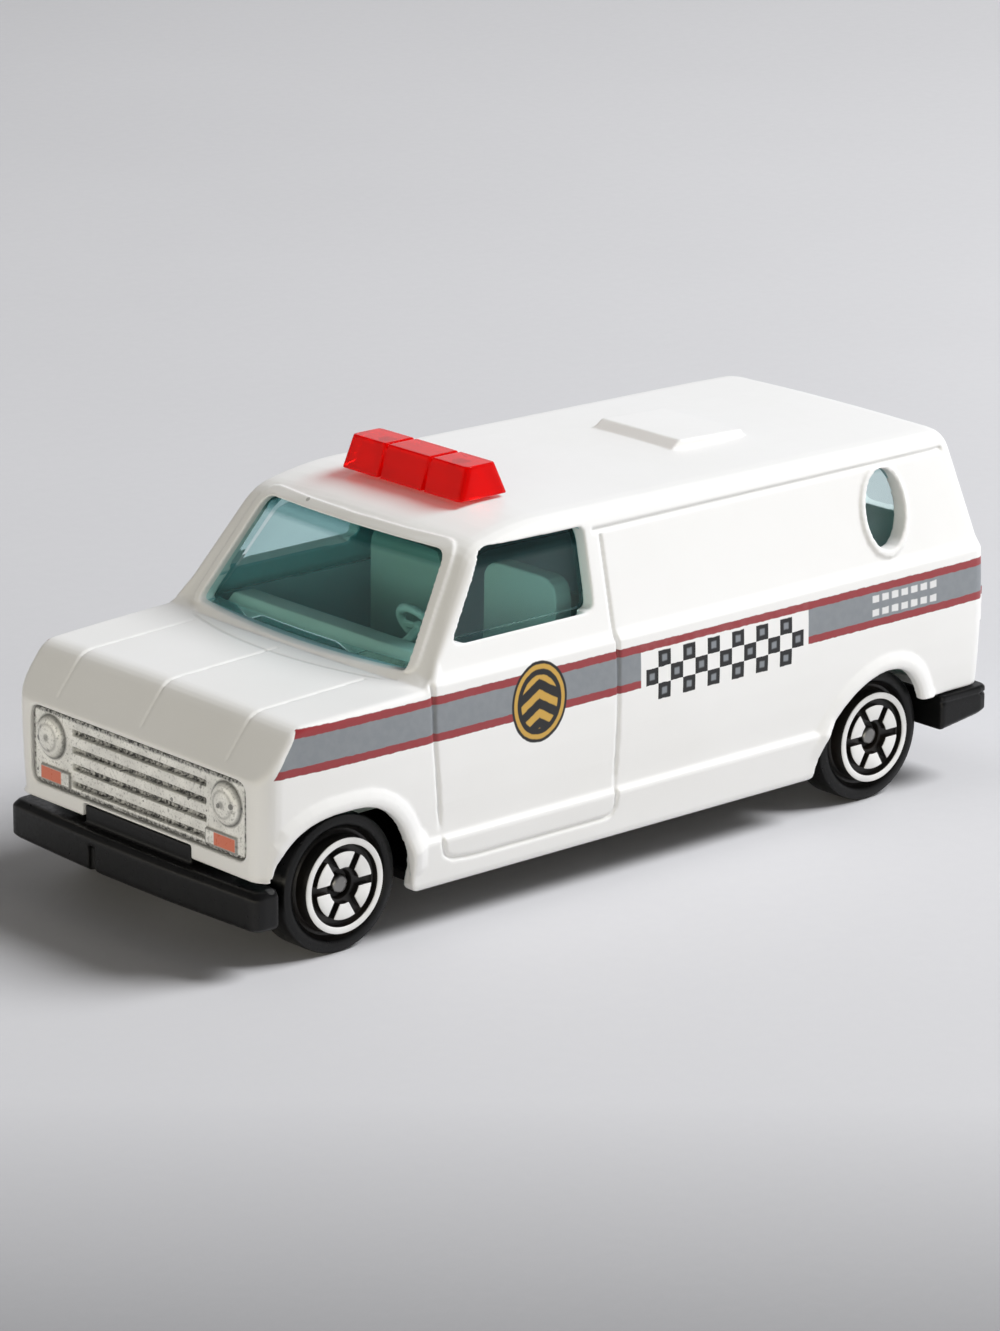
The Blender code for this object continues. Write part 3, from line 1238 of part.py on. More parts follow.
def leaf_spring(name):
    """A bowed strip from the top of the axle to the underside of the tray."""
    low = AXLE_RADIUS + 0.1
    high = TRAY_Z - AXLE_Z - 0.1 - SPRING_THICKNESS
    loops = []
    for y in np.linspace(-SPRING_HALF_SPAN, SPRING_HALF_SPAN, 13):
        z = mix(low, high, (y / SPRING_HALF_SPAN) ** 2)
        half = SPRING_WIDTH / 2
        loops.append([(-half, y, z), (half, y, z), (half, y, z + SPRING_THICKNESS), (-half, y, z + SPRING_THICKNESS)])
    return loft(name, loops)


def material(name, colour, roughness, metallic=0.0, transmission=0.0):
    made = bpy.data.materials.new(name)
    made.use_nodes = True
    shader = made.node_tree.nodes["Principled BSDF"]
    shader.inputs["Base Color"].default_value = (*colour, 1.0)
    shader.inputs["Roughness"].default_value = roughness
    shader.inputs["Metallic"].default_value = metallic
    shader.inputs["Transmission Weight"].default_value = transmission
    made.diffuse_color = (*colour, 1.0)
    return made


def place(piece, look, parent=None, pivot=None, built_at_pivot=False):
    """Turns a piece into metres and lifts it onto the tyres, its origin at the point it moves about."""
    lift = np.array((0.0, 0.0, LIFT))
    origin = np.zeros(3) if pivot is None else np.array(pivot) + lift
    move = np.zeros(3) if built_at_pivot else lift - origin
    mesh = piece.data
    points = np.empty(len(mesh.vertices) * 3)
    mesh.vertices.foreach_get("co", points)
    points = (points.reshape(-1, 3) + move) * MM
    mesh.vertices.foreach_set("co", points.ravel())
    mesh.update()
    mesh.materials.clear()
    mesh.materials.append(look)
    piece.location = [value * MM for value in origin]
    if parent is not None:
        bpy.context.view_layer.update()
        piece.parent = parent
        piece.matrix_parent_inverse = parent.matrix_world.inverted()
    return piece


def main():
    for leftover in list(bpy.data.objects):
        bpy.data.objects.remove(leftover)
    enamel = material("white enamel", WHITE, 0.25)
    black = material("black plastic", BLACK, 0.45)
    silver = material("silver plastic", SILVER, 0.3, metallic=0.8)
    steel = material("steel", STEEL, 0.3, metallic=1.0)
    red = material("red lens", RED, 0.1, transmission=0.6)
    tint = material("tinted plastic", TINT, 0.05, transmission=0.9)
    ivory = material("ivory plastic", IVORY, 0.5)
    body = place(body_shell(), enamel)
    base = place(base_plate(), black, body)
    place(glazing(), tint, body)
    place(interior_tray(), ivory, body)
    place(grille_insert(), silver, body)
    place(light_bar(), red, body)
    for side, name in ((1, "rear_door_left"), (-1, "rear_door_right")):
        place(rear_door(name, side), enamel, body, (HINGE_X, side * HINGE_Y, DOOR_BOTTOM_Z))
    left = wheel("front_left_wheel")
    for end, axle_x in (("front", FRONT_AXLE_X), ("rear", REAR_AXLE_X)):
        centre = (axle_x, 0.0, AXLE_Z)
        pin = place(axle(end + "_axle"), steel, base, centre, built_at_pivot=True)
        place(leaf_spring(end + "_leaf_spring"), steel, base, centre, built_at_pivot=True)
        for side, word in ((1, "left"), (-1, "right")):
            name = f"{end}_{word}_wheel"
            piece = left
            if name != left.name:
                piece = bpy.data.objects.new(name, left.data.copy())
                bpy.context.scene.collection.objects.link(piece)
                turned = np.empty(len(piece.data.vertices) * 3)
                piece.data.vertices.foreach_get("co", turned)
                turned = turned.reshape(-1, 3) / MM * (side, side, 1)
                piece.data.vertices.foreach_set("co", turned.ravel())
            place(piece, black, pin, (axle_x, side * WHEEL_FACE_Y, AXLE_Z), built_at_pivot=True)


if __name__ == "__main__":
    main()
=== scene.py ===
"""Looks of a small die-cast police van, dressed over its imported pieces."""

import math
from typing import NamedTuple

import bpy
from mathutils import Color, Matrix, Vector


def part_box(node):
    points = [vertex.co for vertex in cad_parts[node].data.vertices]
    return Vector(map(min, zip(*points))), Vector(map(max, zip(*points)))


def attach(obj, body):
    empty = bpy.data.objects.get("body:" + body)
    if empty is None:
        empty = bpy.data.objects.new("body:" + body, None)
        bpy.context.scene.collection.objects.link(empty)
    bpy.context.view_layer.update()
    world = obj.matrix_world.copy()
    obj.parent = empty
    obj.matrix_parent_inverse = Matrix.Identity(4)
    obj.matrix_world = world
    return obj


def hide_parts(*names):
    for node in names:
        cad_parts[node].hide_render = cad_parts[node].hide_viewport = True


bl_info = {
    "name": "Die-cast police van",
    "version": (1, 0, 0),
    "blender": (4, 5, 0),
    "location": "View3D > Sidebar > Van",
    "description": "Dresses the packed pieces of a small die-cast police van",
    "category": "Add Mesh",
}

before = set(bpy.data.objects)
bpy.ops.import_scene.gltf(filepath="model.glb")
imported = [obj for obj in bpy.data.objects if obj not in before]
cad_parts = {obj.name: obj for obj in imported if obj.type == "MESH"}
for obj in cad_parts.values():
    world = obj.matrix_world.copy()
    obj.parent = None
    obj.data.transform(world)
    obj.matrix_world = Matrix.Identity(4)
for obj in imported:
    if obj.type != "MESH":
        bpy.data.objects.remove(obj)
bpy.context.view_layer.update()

MM = 0.001
MERGE_DISTANCE = 1e-6
MOST_TRIANGLES = 190000
GLASS_CREASE = math.radians(10)

WHEELS = {
    "front_left_wheel": ("front_left_wheel_unit", 1),
    "front_right_wheel": ("front_right_wheel_unit", -1),
    "rear_left_wheel": ("rear_left_wheel_unit", 1),
    "rear_right_wheel": ("rear_right_wheel_unit", -1),
}
AXLES = {"front_axle": "front_axle_unit", "rear_axle": "rear_axle_unit"}
SPRINGS = ("front_leaf_spring", "rear_leaf_spring")
REAR_DOORS = {
    "rear_door_left": "rear_door_left_unit",
    "rear_door_right": "rear_door_right_unit",
}

# Wheels and axles, in millimetres.
# Half of a wheel's section from the hub bore outwards and back: radius, then height above the outer face.
WHEEL_SECTION = (
    (0.66, -3.6), (1.61, -3.6), (1.61, -2.6), (4.15, -2.6), (4.35, -3.8), (4.95, -3.8),
    (5.16, -3.7), (5.25, -3.5), (5.25, -0.95), (5.22, -0.8), (5.13, -0.68), (4.85, -0.6),
    (4.62, -0.6), (4.42, -0.66), (4.25, -0.82), (4.12, -1.1), (4.0, -1.32), (3.8, -1.35),
    (3.64, -1.2), (3.6, -0.08), (3.57, -0.02), (3.5, 0.0), (3.2, 0.0), (3.13, -0.02),
    (3.1, -0.08), (3.05, -0.55), (2.95, -0.62), (1.25, -0.62), (1.15, -0.66), (1.1, -0.75),
    (1.1, -1.25), (0.98, -1.3), (0.66, -1.3),
)
WHEEL_STEPS = 72
WHEEL_CREASE = math.radians(32)
# A wheel's materials, in their order on the piece.
TYRE_PAINT, DISH_PAINT, WHITE_PAINT = range(3)
# A wheel's white faces look outwards at least this much: the ring's and the pads' tops.
LOOKS_OUT = 0.25
RING_RADII = (3.1, 3.6)
RING_LOWEST = -0.09
PADS_WITHIN = 3.0
PADS_LOWEST = -0.2
# The unpainted dish ends at the tyre.
DISH_WITHIN = 4.3
DISH_LOWEST = -1.4
PADS = 6
PAD_RADII = (1.38, 2.56)
PAD_ARC_STEPS = 8
HALF_SPOKE = 0.31
PAD_FOOT = -0.66
PAD_RISE = 0.61
PAD_ROUNDING = 0.07
PAD_CREASE = math.radians(50)
# One end of an axle: radius, then distance from the van's middle line.
AXLE_END_SECTION = ((0.6, 13.3), (0.72, 13.4), (0.72, 13.66), (0.66, 13.79), (0.52, 13.87), (0.3, 13.9))
AXLE_STEPS = 40
AXLE_CREASE = math.radians(40)

# All other sizes are in metres.
# Height above which painted shade darkens the windows, standing in for the dark view through the glazing's
# curved top, and half the width of the change.
WINDOW_PAINTED_SHADE_FROM = 0.0259
WINDOW_PAINTED_SHADE_EDGE = 0.0002
# The windscreen's plane: its foot, how far it leans back for each unit up, and its bow per metre.
SCREEN_FOOT_X = 0.02167
SCREEN_FOOT_Z = 0.0186
SCREEN_LEAN = 0.694
SCREEN_BOW = 3.5
# Painted shade inside the cabin: walls that look inwards from this far out, and the roof's underside.
INNER_WALL = 0.006
ROOF_LOWEST = 0.02
ROOF_HALF = 0.0124
CABIN_DEPTH = 0.0016
LOOKS_DOWN = -0.5
# The strip of casting below the windscreen, which the cabin's painted shade also darkens: its heights, its
# depths behind the plane and its half width.
SILL_HEIGHTS = (0.0165, 0.0212)
SILL_DEPTHS = (0.00055, 0.006)
SILL_HALF = 0.0117
SILL_EDGE = 0.0001
# The seam ahead of the windscreen, a bump darkened along its line by painted shade: its place on the middle
# line, its bow per metre, where it fades out, and the strength of that shade.
SEAM_X = 0.024
SEAM_BOW = 15.5
SEAM_WIDTH = (0.00003, 0.0002)
SEAM_ENDS = (0.0104, 0.0114)
SEAM_STRENGTH = 0.6
# The height of the enamel's orange peel, as a share of the seam's depth.
ORANGE_PEEL = 0.04
LOOKS_UP = 0.7

# The side print: half the softness of its edges, and how far out the walls that look outwards start.
PRINT_EDGE = 0.00003
PRINT_WALL = 0.004
RAGGED_SCALE = 1500.0
PRINT_WEAR = (0.35, 0.65, 0.97, 1.0)
CHECKS = 13
CHECK_ROWS = 3
PANEL_MARGIN = 0.0005
# Shares of one square or dash: the grey middle, the white length and the softness of their edges.
CHECK_CORE = (0.3, 0.7)
DASH_SHARE = (0.16, 0.84)
CELL_EDGE = 0.05
DASH_PITCH = 0.00106
DASH_ROW_OFFSET = 0.00055
DASH_STRENGTH = 0.8
DASH_WHITE = (0.86, 0.86, 0.86, 1.0)
# The door emblem, in shares of its half width and half height.
EMBLEM_EDGE = 0.012
EMBLEM_RIM = (0.8, 0.92)
BARS_WITHIN = 0.66
BAR_SLOPE = 0.5
BARS_PER_UNIT = 2.1
BAR_OFFSET = 0.1
BAR_SHARE = (0.3, 0.75)
BAR_EDGE = 0.03

# The grille: its slots and edge darkened by painted shade, the lamps' dark rings with their strengths (the
# first two painted shade of each lamp's gap and bezel, the last a dark middle), and the turn signals.
SLOT_DEPTHS = (0.00095, 0.00075)
SLOTS_HALF = 0.0079
SLOT_EDGE = 0.0001
GRILLE_RIM = 0.00025
RIM_EDGE = 0.00008
LAMP_Y = 0.0103
LAMP_Z = 0.0121
LAMP_RINGS = ((0.00155, 0.00175, 0.85), (0.00092, 0.00108, 0.45), (-1.0, 0.00028, 0.55))
RING_EDGE = 0.0001
SIGNAL_FRAME = ((0.00795, 0.01155), (0.00855, 0.00985))
SIGNAL_PANE = ((0.0081, 0.0114), (0.00872, 0.00968))
SIGNAL_EDGE = 0.00004
SIGNAL_LINE = 0.6
AMBER_FROM = 0.009
AMBER_EDGE = 0.00006
# Parts of the grain's range: where the silver is worn, and how patchy the painted shade of the slots and edge
# is.
SILVER_WEAR = (0.54, 0.68, 0.0, 0.5)
SLOT_PATCHES = (0.38, 0.58, 0.35, 1.0)
SLOT_DARK = (0.018, 0.018, 0.017, 1.0)
WORN_SILVER = (0.1, 0.098, 0.09, 1.0)

# The dashboard's stretch along the van that painted light makes paler, and the colour of that painted light.
DASH_LIGHT_SPAN = (0.015, 0.019)
DASH_PAINTED_LIGHT = (0.8, 0.88, 0.8, 1.0)
# The light that the clear plastics let through.
WINDOW_DAYLIGHT = (0.8, 0.96, 0.96, 1.0)
RED_DAYLIGHT = (0.72, 0.035, 0.03, 1.0)
RED_REFLECTION = (1.0, 0.12, 0.12, 1.0)
WHITE = (1.0, 1.0, 1.0, 1.0)

# The studio: floor, key lamp, walls and camera.
FLOOR_SIZE = 6.0
FLOOR_CUTS = 8
# The floor's painted shade: its way towards the camera, the stretch over which it darkens, and its darkest
# share.
FLOOR_NEAR_WAY = (0.665, 0.747, 0.0)
FLOOR_NEAR = (0.058, 0.112)
FLOOR_NEAR_SHADE = 0.4
KEY_SIZE = 0.45
KEY_POWER = 10.6
KEY_COLOUR = (0.985, 0.99, 1.0)
KEY_PLACE = (-0.52, 0.31, 0.68)
KEY_TARGET = (0.0, 0.0, 0.012)
WALLS = (0.2, 0.2, 0.205, 1.0)
REAR_WALL = (0.8, 0.8, 0.82, 1.0)
REAR_FADE = (0.1, -0.6)
CEILING = (0.08, 0.08, 0.085, 1.0)
CEILING_FADE = (0.15, 0.6)
FRONT_PANEL = (3.3, 3.1, 2.6, 1.0)
FRONT_WAY = (0.95, 0.25, 0.0)
FRONT_FADE = (0.25, 0.9)
FRONT_TOP = (0.08, 0.42)
CAMERA_TARGET = (0.001026, 0.0, 0.013021)
CAMERA_DISTANCE = 0.41683
CAMERA_AZIMUTH = math.radians(138.326)
CAMERA_ELEVATION = math.radians(17.02)
CAMERA_ROLL = math.radians(0.386)
CAMERA_LENS = 147.29
CAMERA_SENSOR = 36.0
CAMERA_NEAREST = 0.01


class Finish(NamedTuple):
    """A finish's scales per metre, its specks' size, its range of roughness and its bump."""

    clouds: float
    grain: float
    specks: float
    speck_size: float
    smooth: float
    rough: float
    strength: float
    height: float


FINISHES = {
    "white_enamel": Finish(60.0, 900.0, 190.0, 0.055, 0.32, 0.44, 0.6, 0.00012),
    "dusty_black": Finish(130.0, 2600.0, 420.0, 0.16, 0.26, 0.46, 0.2, 0.00004),
    "wheel_dish": Finish(300.0, 2600.0, 500.0, 0.12, 0.3, 0.5, 0.15, 0.00003),
    "wheel_print": Finish(350.0, 2200.0, 900.0, 0.12, 0.32, 0.5, 0.12, 0.00003),
    "silvered_plastic": Finish(500.0, 3600.0, 1500.0, 0.35, 0.24, 0.42, 0.3, 0.00003),
    "ivory_plastic": Finish(120.0, 2000.0, 300.0, 0.1, 0.4, 0.58, 0.15, 0.00004),
    "drawn_steel": Finish(260.0, 3000.0, 700.0, 0.16, 0.26, 0.44, 0.2, 0.00002),
    "tinted_clear_plastic": Finish(120.0, 1400.0, 300.0, 0.05, 0.03, 0.08, 0.05, 0.00003),
    "red_clear_plastic": Finish(120.0, 1400.0, 300.0, 0.05, 0.03, 0.08, 0.05, 0.00003),
    "studio_floor": Finish(9.0, 700.0, 40.0, 0.0, 0.6, 0.8, 0.05, 0.0001),
}
# The middle stretch of a noise's values, which a finish spreads over its whole range.
NOISE_LOW = 0.3
NOISE_HIGH = 0.7
# A cell holds a speck where its random value is past this step.
SPECK_PICK = (0.82, 0.84)


def linear(colour):
    """A colour as a swatch shows it, as the shader's own values."""
    made = Color(colour).from_srgb_to_scene_linear()
    return (made.r, made.g, made.b, 1.0)


def toned(colour, shares):
    """A colour with its red, green and blue multiplied by these shares."""
    return tuple(part * share for part, share in zip(colour, shares)) + (1.0,)


def dimmed(colour, share):
    """A colour with its red, green and blue multiplied by one share."""
    return toned(colour, (share, share, share))


def length(name, default, description):
    """A size that a user would change, in metres."""
    return bpy.props.FloatProperty(
        name=name, description=description, default=default, unit="LENGTH", subtype="DISTANCE", precision=5)


def swatch(name, default, description):
    """A colour that a user would change, as a swatch shows it."""
    return bpy.props.FloatVectorProperty(
        name=name, description=description, default=default, subtype="COLOR_GAMMA",
        size=3, min=0.0, max=1.0)


class VanSizes(bpy.types.PropertyGroup):
    """Sizes of the softened edges and of the side print."""

    paint_edge: length("Paint edge", 0.00011, "How far the enamel softens an edge of the casting")
    mould_edge: length("Moulded edge", 0.00011, "How far a plastic moulding's edges are softened")
    fine_edge: length("Fine edge", 0.00008, "The same for the grille and the light bar")
    stripe_bottom: length("Stripe bottom", 0.0147, "Height of the lower edge of the side stripe")
    stripe_top: length("Stripe top", 0.01805, "Height of the upper edge of the side stripe")
    stripe_border: length("Stripe border", 0.0006, "Width of the stripe's border lines")
    stripe_nose_low: length("Stripe tip", 0.03535, "Where the stripe's lower line ends at the nose")
    stripe_nose_high: length("Stripe shoulder", 0.0332, "Where the stripe's upper line ends at the nose")
    print_depth: length("Print depth", 0.0136, "Distance from the middle past which the sides are printed")
    checker_front: length("Checker front", 0.0, "Front end of the checked panel")
    checker_square: length("Checker square", 0.00127, "Side of one square of the checked panel")
    checker_middle: length("Checker middle", 0.01535, "Height of the middle of the checked rows")
    dash_front: length("Dashes front", -0.0238, "Front end of the row of dashes")
    dash_rear: length("Dashes rear", -0.0312, "Rear end of the row of dashes")
    dash_height: length("Dash height", 0.00055, "Height of one dash")
    emblem_x: length("Emblem place", 0.01067, "Middle of the door emblem along the van")
    emblem_z: length("Emblem height", 0.0157, "Middle of the door emblem above the ground")
    emblem_wide: length("Emblem width", 0.0054, "Width of the door emblem")
    emblem_tall: length("Emblem tallness", 0.0062, "Height of the door emblem")


class VanColours(bpy.types.PropertyGroup):
    """Colours of the enamel, the print, the mouldings, the steel and the floor."""

    enamel: swatch("Enamel", (0.935, 0.935, 0.932), "White enamel of the casting")
    # The inside colour is painted shade of the cabin, seen through the windows.
    inside: swatch("Inside", (0.62, 0.75, 0.78), "Thinly painted inside of the casting")
    stripe: swatch("Stripe", (0.51, 0.53, 0.55), "Grey of the side stripe")
    border: swatch("Border", (0.58, 0.2, 0.215), "Dark red of the stripe's border lines")
    print_black: swatch("Print black", (0.06, 0.06, 0.065), "Black of the checks and the emblem")
    print_gold: swatch("Print gold", (0.78, 0.62, 0.27), "Gold of the emblem")
    black_plastic: swatch("Black plastic", (0.05, 0.05, 0.052), "Base, bumpers and tyres")
    hub_dark: swatch("Hub dark", (0.07, 0.065, 0.06), "Dish of the wheels")
    wheel_white: swatch("Wheel white", (0.9, 0.9, 0.895), "Ring and pads of the wheels")
    silver: swatch("Silver", (0.965, 0.965, 0.95), "Grille moulding")
    amber: swatch("Amber", (0.85, 0.47, 0.36), "Outer half of the turn signals")
    red_lens: swatch("Red lens", (1.0, 0.055, 0.045), "Light bar")
    tint: swatch("Window tint", (0.885, 0.965, 0.968), "Tinted plastic of the windows")
    ivory: swatch("Ivory", (0.63, 0.73, 0.715), "Interior moulding")
    steel: swatch("Steel", (0.66, 0.655, 0.645), "Axles and springs")
    floor: swatch("Floor", (0.815, 0.815, 0.825), "Studio floor")


def add(tree, kind, inputs=None, **settings):
    """Adds a node, with its settings, and with values or links in its inputs."""
    made = tree.nodes.new(kind)
    for key, value in settings.items():
        setattr(made, key, value)
    for key, value in (inputs or {}).items():
        put(tree, value, made, key)
    return made


def put(tree, value, node, socket):
    """Links or sets one of a node's sockets."""
    if isinstance(value, bpy.types.NodeSocket):
        tree.links.new(value, node.inputs[socket])
    else:
        node.inputs[socket].default_value = value


def calc(tree, operation, first, second=0.0):
    """One step of arithmetic."""
    return add(tree, "ShaderNodeMath", {0: first, 1: second}, operation=operation).outputs[0]


def product(tree, first, *others):
    """All of these values multiplied."""
    for other in others:
        first = calc(tree, "MULTIPLY", first, other)
    return first


def largest(tree, first, *others):
    """The largest of these values."""
    for other in others:
        first = calc(tree, "MAXIMUM", first, other)
    return first


def distance(tree, across, up):
    """How far a point that is this far across and up is from the middle."""
    squares = calc(tree, "ADD", product(tree, across, across), product(tree, up, up))
    return calc(tree, "SQRT", squares)


def fade(tree, value, low, high, to_low=0.0, to_high=1.0):
    """Turns a value between low and high into one between to_low and to_high."""
    sockets = {0: value, 1: low, 2: high, 3: to_low, 4: to_high}
    return add(tree, "ShaderNodeMapRange", sockets).outputs[0]


def mixed(tree, share, first, second):
    """The first colour, with the second over it where share is 1."""
    return add(tree, "ShaderNodeMix", {0: share, 6: first, 7: second}, data_type="RGBA").outputs[2]


def beyond(tree, value, low, soft):
    """1 past low, with an edge twice as wide as soft."""
    return fade(tree, value, low - soft, low + soft)


def until(tree, value, high, soft):
    """1 up to high, with an edge twice as wide as soft."""
    return fade(tree, value, high - soft, high + soft, 1.0, 0.0)


def within(tree, value, low, high, soft):
    """1 between low and high, with edges twice as wide as soft."""
    return product(tree, beyond(tree, value, low, soft), until(tree, value, high, soft))


def axes_of(tree, kind):
    """The parts along the van, across it and up: of a point's place for Object, of its facing for Normal."""
    spot = add(tree, "ShaderNodeTexCoord").outputs[kind]
    return add(tree, "ShaderNodeSeparateXYZ", {0: spot}).outputs


def new_group(name, inputs, outputs):
    """An empty shader node group with its sockets, and its input and output nodes."""
    group = bpy.data.node_groups.new(name, "ShaderNodeTree")
    for socket, kind in inputs:
        group.interface.new_socket(socket, in_out="INPUT", socket_type=kind)
    for socket, kind in outputs:
        group.interface.new_socket(socket, in_out="OUTPUT", socket_type=kind)
    return group, add(group, "NodeGroupInput"), add(group, "NodeGroupOutput")


def surface_grain():
    """The group that all finishes share: cloudy mottle, fine grain and a few small specks."""
    name = "van_surface_grain"
    if name in bpy.data.node_groups:
        return bpy.data.node_groups[name]
    group, start, end = new_group(
        name,
        [("Cloud Scale", "NodeSocketFloat"), ("Grain Scale", "NodeSocketFloat"),
         ("Speck Scale", "NodeSocketFloat"), ("Speck Size", "NodeSocketFloat")],
        [("Cloud", "NodeSocketFloat"), ("Grain", "NodeSocketFloat"), ("Specks", "NodeSocketFloat")],
    )
    place = add(group, "ShaderNodeTexCoord").outputs["Object"]
    cloud = add(group, "ShaderNodeTexNoise", {
        "Vector": place, "Scale": start.outputs["Cloud Scale"], "Detail": 3.0, "Roughness": 0.55})
    grain = add(group, "ShaderNodeTexNoise", {
        "Vector": place, "Scale": start.outputs["Grain Scale"], "Detail": 4.0, "Roughness": 0.6})
    cells = add(group, "ShaderNodeTexVoronoi", {"Vector": place, "Scale": start.outputs["Speck Scale"]})
    chosen = add(group, "ShaderNodeSeparateColor", {"Color": cells.outputs["Color"]})
    picked = fade(group, chosen.outputs[0], *SPECK_PICK)
    reach = calc(group, "MULTIPLY", start.outputs["Speck Size"], chosen.outputs[1])
    near = calc(group, "LESS_THAN", cells.outputs["Distance"], reach)
    put(group, cloud.outputs[0], end, "Cloud")
    put(group, grain.outputs[0], end, "Grain")
    put(group, product(group, near, picked), end, "Specks")
    return group


def start_material(name):
    """A material with the shared grain group, and with its finish's roughness and bump from that grain."""
    material = bpy.data.materials.new(name)
    material.use_nodes = True
    tree = material.node_tree
    shader = tree.nodes["Principled BSDF"]
    finish = FINISHES[name]
    scales = {"Cloud Scale": finish.clouds, "Grain Scale": finish.grain,
              "Speck Scale": finish.specks, "Speck Size": finish.speck_size}
    spread = add(tree, "ShaderNodeGroup", scales, node_tree=surface_grain()).outputs
    rough = fade(tree, spread["Grain"], NOISE_LOW, NOISE_HIGH, finish.smooth, finish.rough)
    put(tree, rough, shader, "Roughness")
    bump = add(tree, "ShaderNodeBump", {
        "Strength": finish.strength, "Distance": finish.height, "Height": spread["Grain"]}, name="bump")
    put(tree, bump.outputs[0], shader, "Normal")
    return material, tree, shader, spread


def clouded(tree, spread, first, second, start, full, most=1.0):
    """The first colour, with the second over it in soft clouds."""
    return mixed(tree, fade(tree, spread["Cloud"], start, full, 0.0, most), first, second)


def speckled(tree, spread, colour, speck, strength):
    """A colour with small specks of another."""
    return mixed(tree, product(tree, spread["Specks"], strength), colour, speck)


def enamel_material(sizes, colours):
    """White enamel with faint orange peel, a few specks, the side print, painted shade inside the cabin and a
    seam darkened by painted shade.
    """
    if "white_enamel" in bpy.data.materials:
        return bpy.data.materials["white_enamel"]
    material, tree, shader, spread = start_material("white_enamel")
    white = linear(colours.enamel)
    colour = clouded(tree, spread, white, toned(white, shares=(0.97, 0.968, 0.96)), start=0.35, full=0.7)
    colour = speckled(tree, spread, colour, speck=(0.2, 0.19, 0.18, 1.0), strength=0.55)
    # Painted shade: the cabin's inner walls, roof underside and the strip below the windscreen take the
    # darker inside colour.
    colour = mixed(tree, painted_cabin_shade(tree), colour, linear(colours.inside))
    livery = add(tree, "ShaderNodeGroup", {"Paint": colour}, node_tree=side_print(sizes, colours))
    seam = cowl_seam(tree)
    # Painted shade along the seam, standing in for the shade in a groove.
    shadow = dimmed(white, share=0.7)
    colour = mixed(tree, product(tree, seam, SEAM_STRENGTH), livery.outputs["Color"], shadow)
    put(tree, colour, shader, "Base Color")
    peel = product(tree, spread["Grain"], ORANGE_PEEL)
    put(tree, calc(tree, "SUBTRACT", peel, seam), tree.nodes["bump"], "Height")
    put(tree, 0.2, shader, "Coat Weight")
    put(tree, 0.15, shader, "Coat Roughness")
    return material


def painted_cabin_shade(tree):
    """A mask of where painted shade darkens the cabin: the casting's inner walls, its roof's underside and
    the strip below the windscreen.
    """
    x, y, z = axes_of(tree, "Object")
    facing = axes_of(tree, "Normal")
    width = calc(tree, "ABSOLUTE", y)
    inward = calc(tree, "LESS_THAN", product(tree, y, facing[1]), -INNER_WALL)
    downward = calc(tree, "LESS_THAN", facing[2], LOOKS_DOWN)
    narrow = calc(tree, "LESS_THAN", width, ROOF_HALF)
    high = calc(tree, "GREATER_THAN", z, ROOF_LOWEST)
    under = product(tree, downward, narrow, high)
    lean = product(tree, calc(tree, "SUBTRACT", z, SCREEN_FOOT_Z), SCREEN_LEAN)
    bow = product(tree, width, width, SCREEN_BOW)
    ahead = calc(tree, "ADD", calc(tree, "ADD", x, lean), bow)
    depth = calc(tree, "SUBTRACT", SCREEN_FOOT_X, ahead)
    behind = calc(tree, "GREATER_THAN", depth, CABIN_DEPTH)
    cabin = product(tree, largest(tree, inward, under), behind)
    sill = product(
        tree, within(tree, z, *SILL_HEIGHTS, SILL_EDGE), calc(tree, "LESS_THAN", width, SILL_HALF),
        within(tree, depth, *SILL_DEPTHS, SILL_EDGE))
    return largest(tree, cabin, sill)


def cowl_seam(tree):
    """A mask of the bowed seam across the hood, just ahead of the windscreen, where painted shade and a bump
    make a groove.
    """
    axes = axes_of(tree, "Object")
    bow = product(tree, axes[1], axes[1], SEAM_BOW)
    ahead = calc(tree, "SUBTRACT", axes[0], calc(tree, "SUBTRACT", SEAM_X, bow))
    line = fade(tree, calc(tree, "ABSOLUTE", ahead), *SEAM_WIDTH, 1.0, 0.0)
    wide = fade(tree, calc(tree, "ABSOLUTE", axes[1]), *SEAM_ENDS, 1.0, 0.0)
    upward = calc(tree, "GREATER_THAN", axes_of(tree, "Normal")[2], LOOKS_UP)
    return product(tree, line, wide, upward)


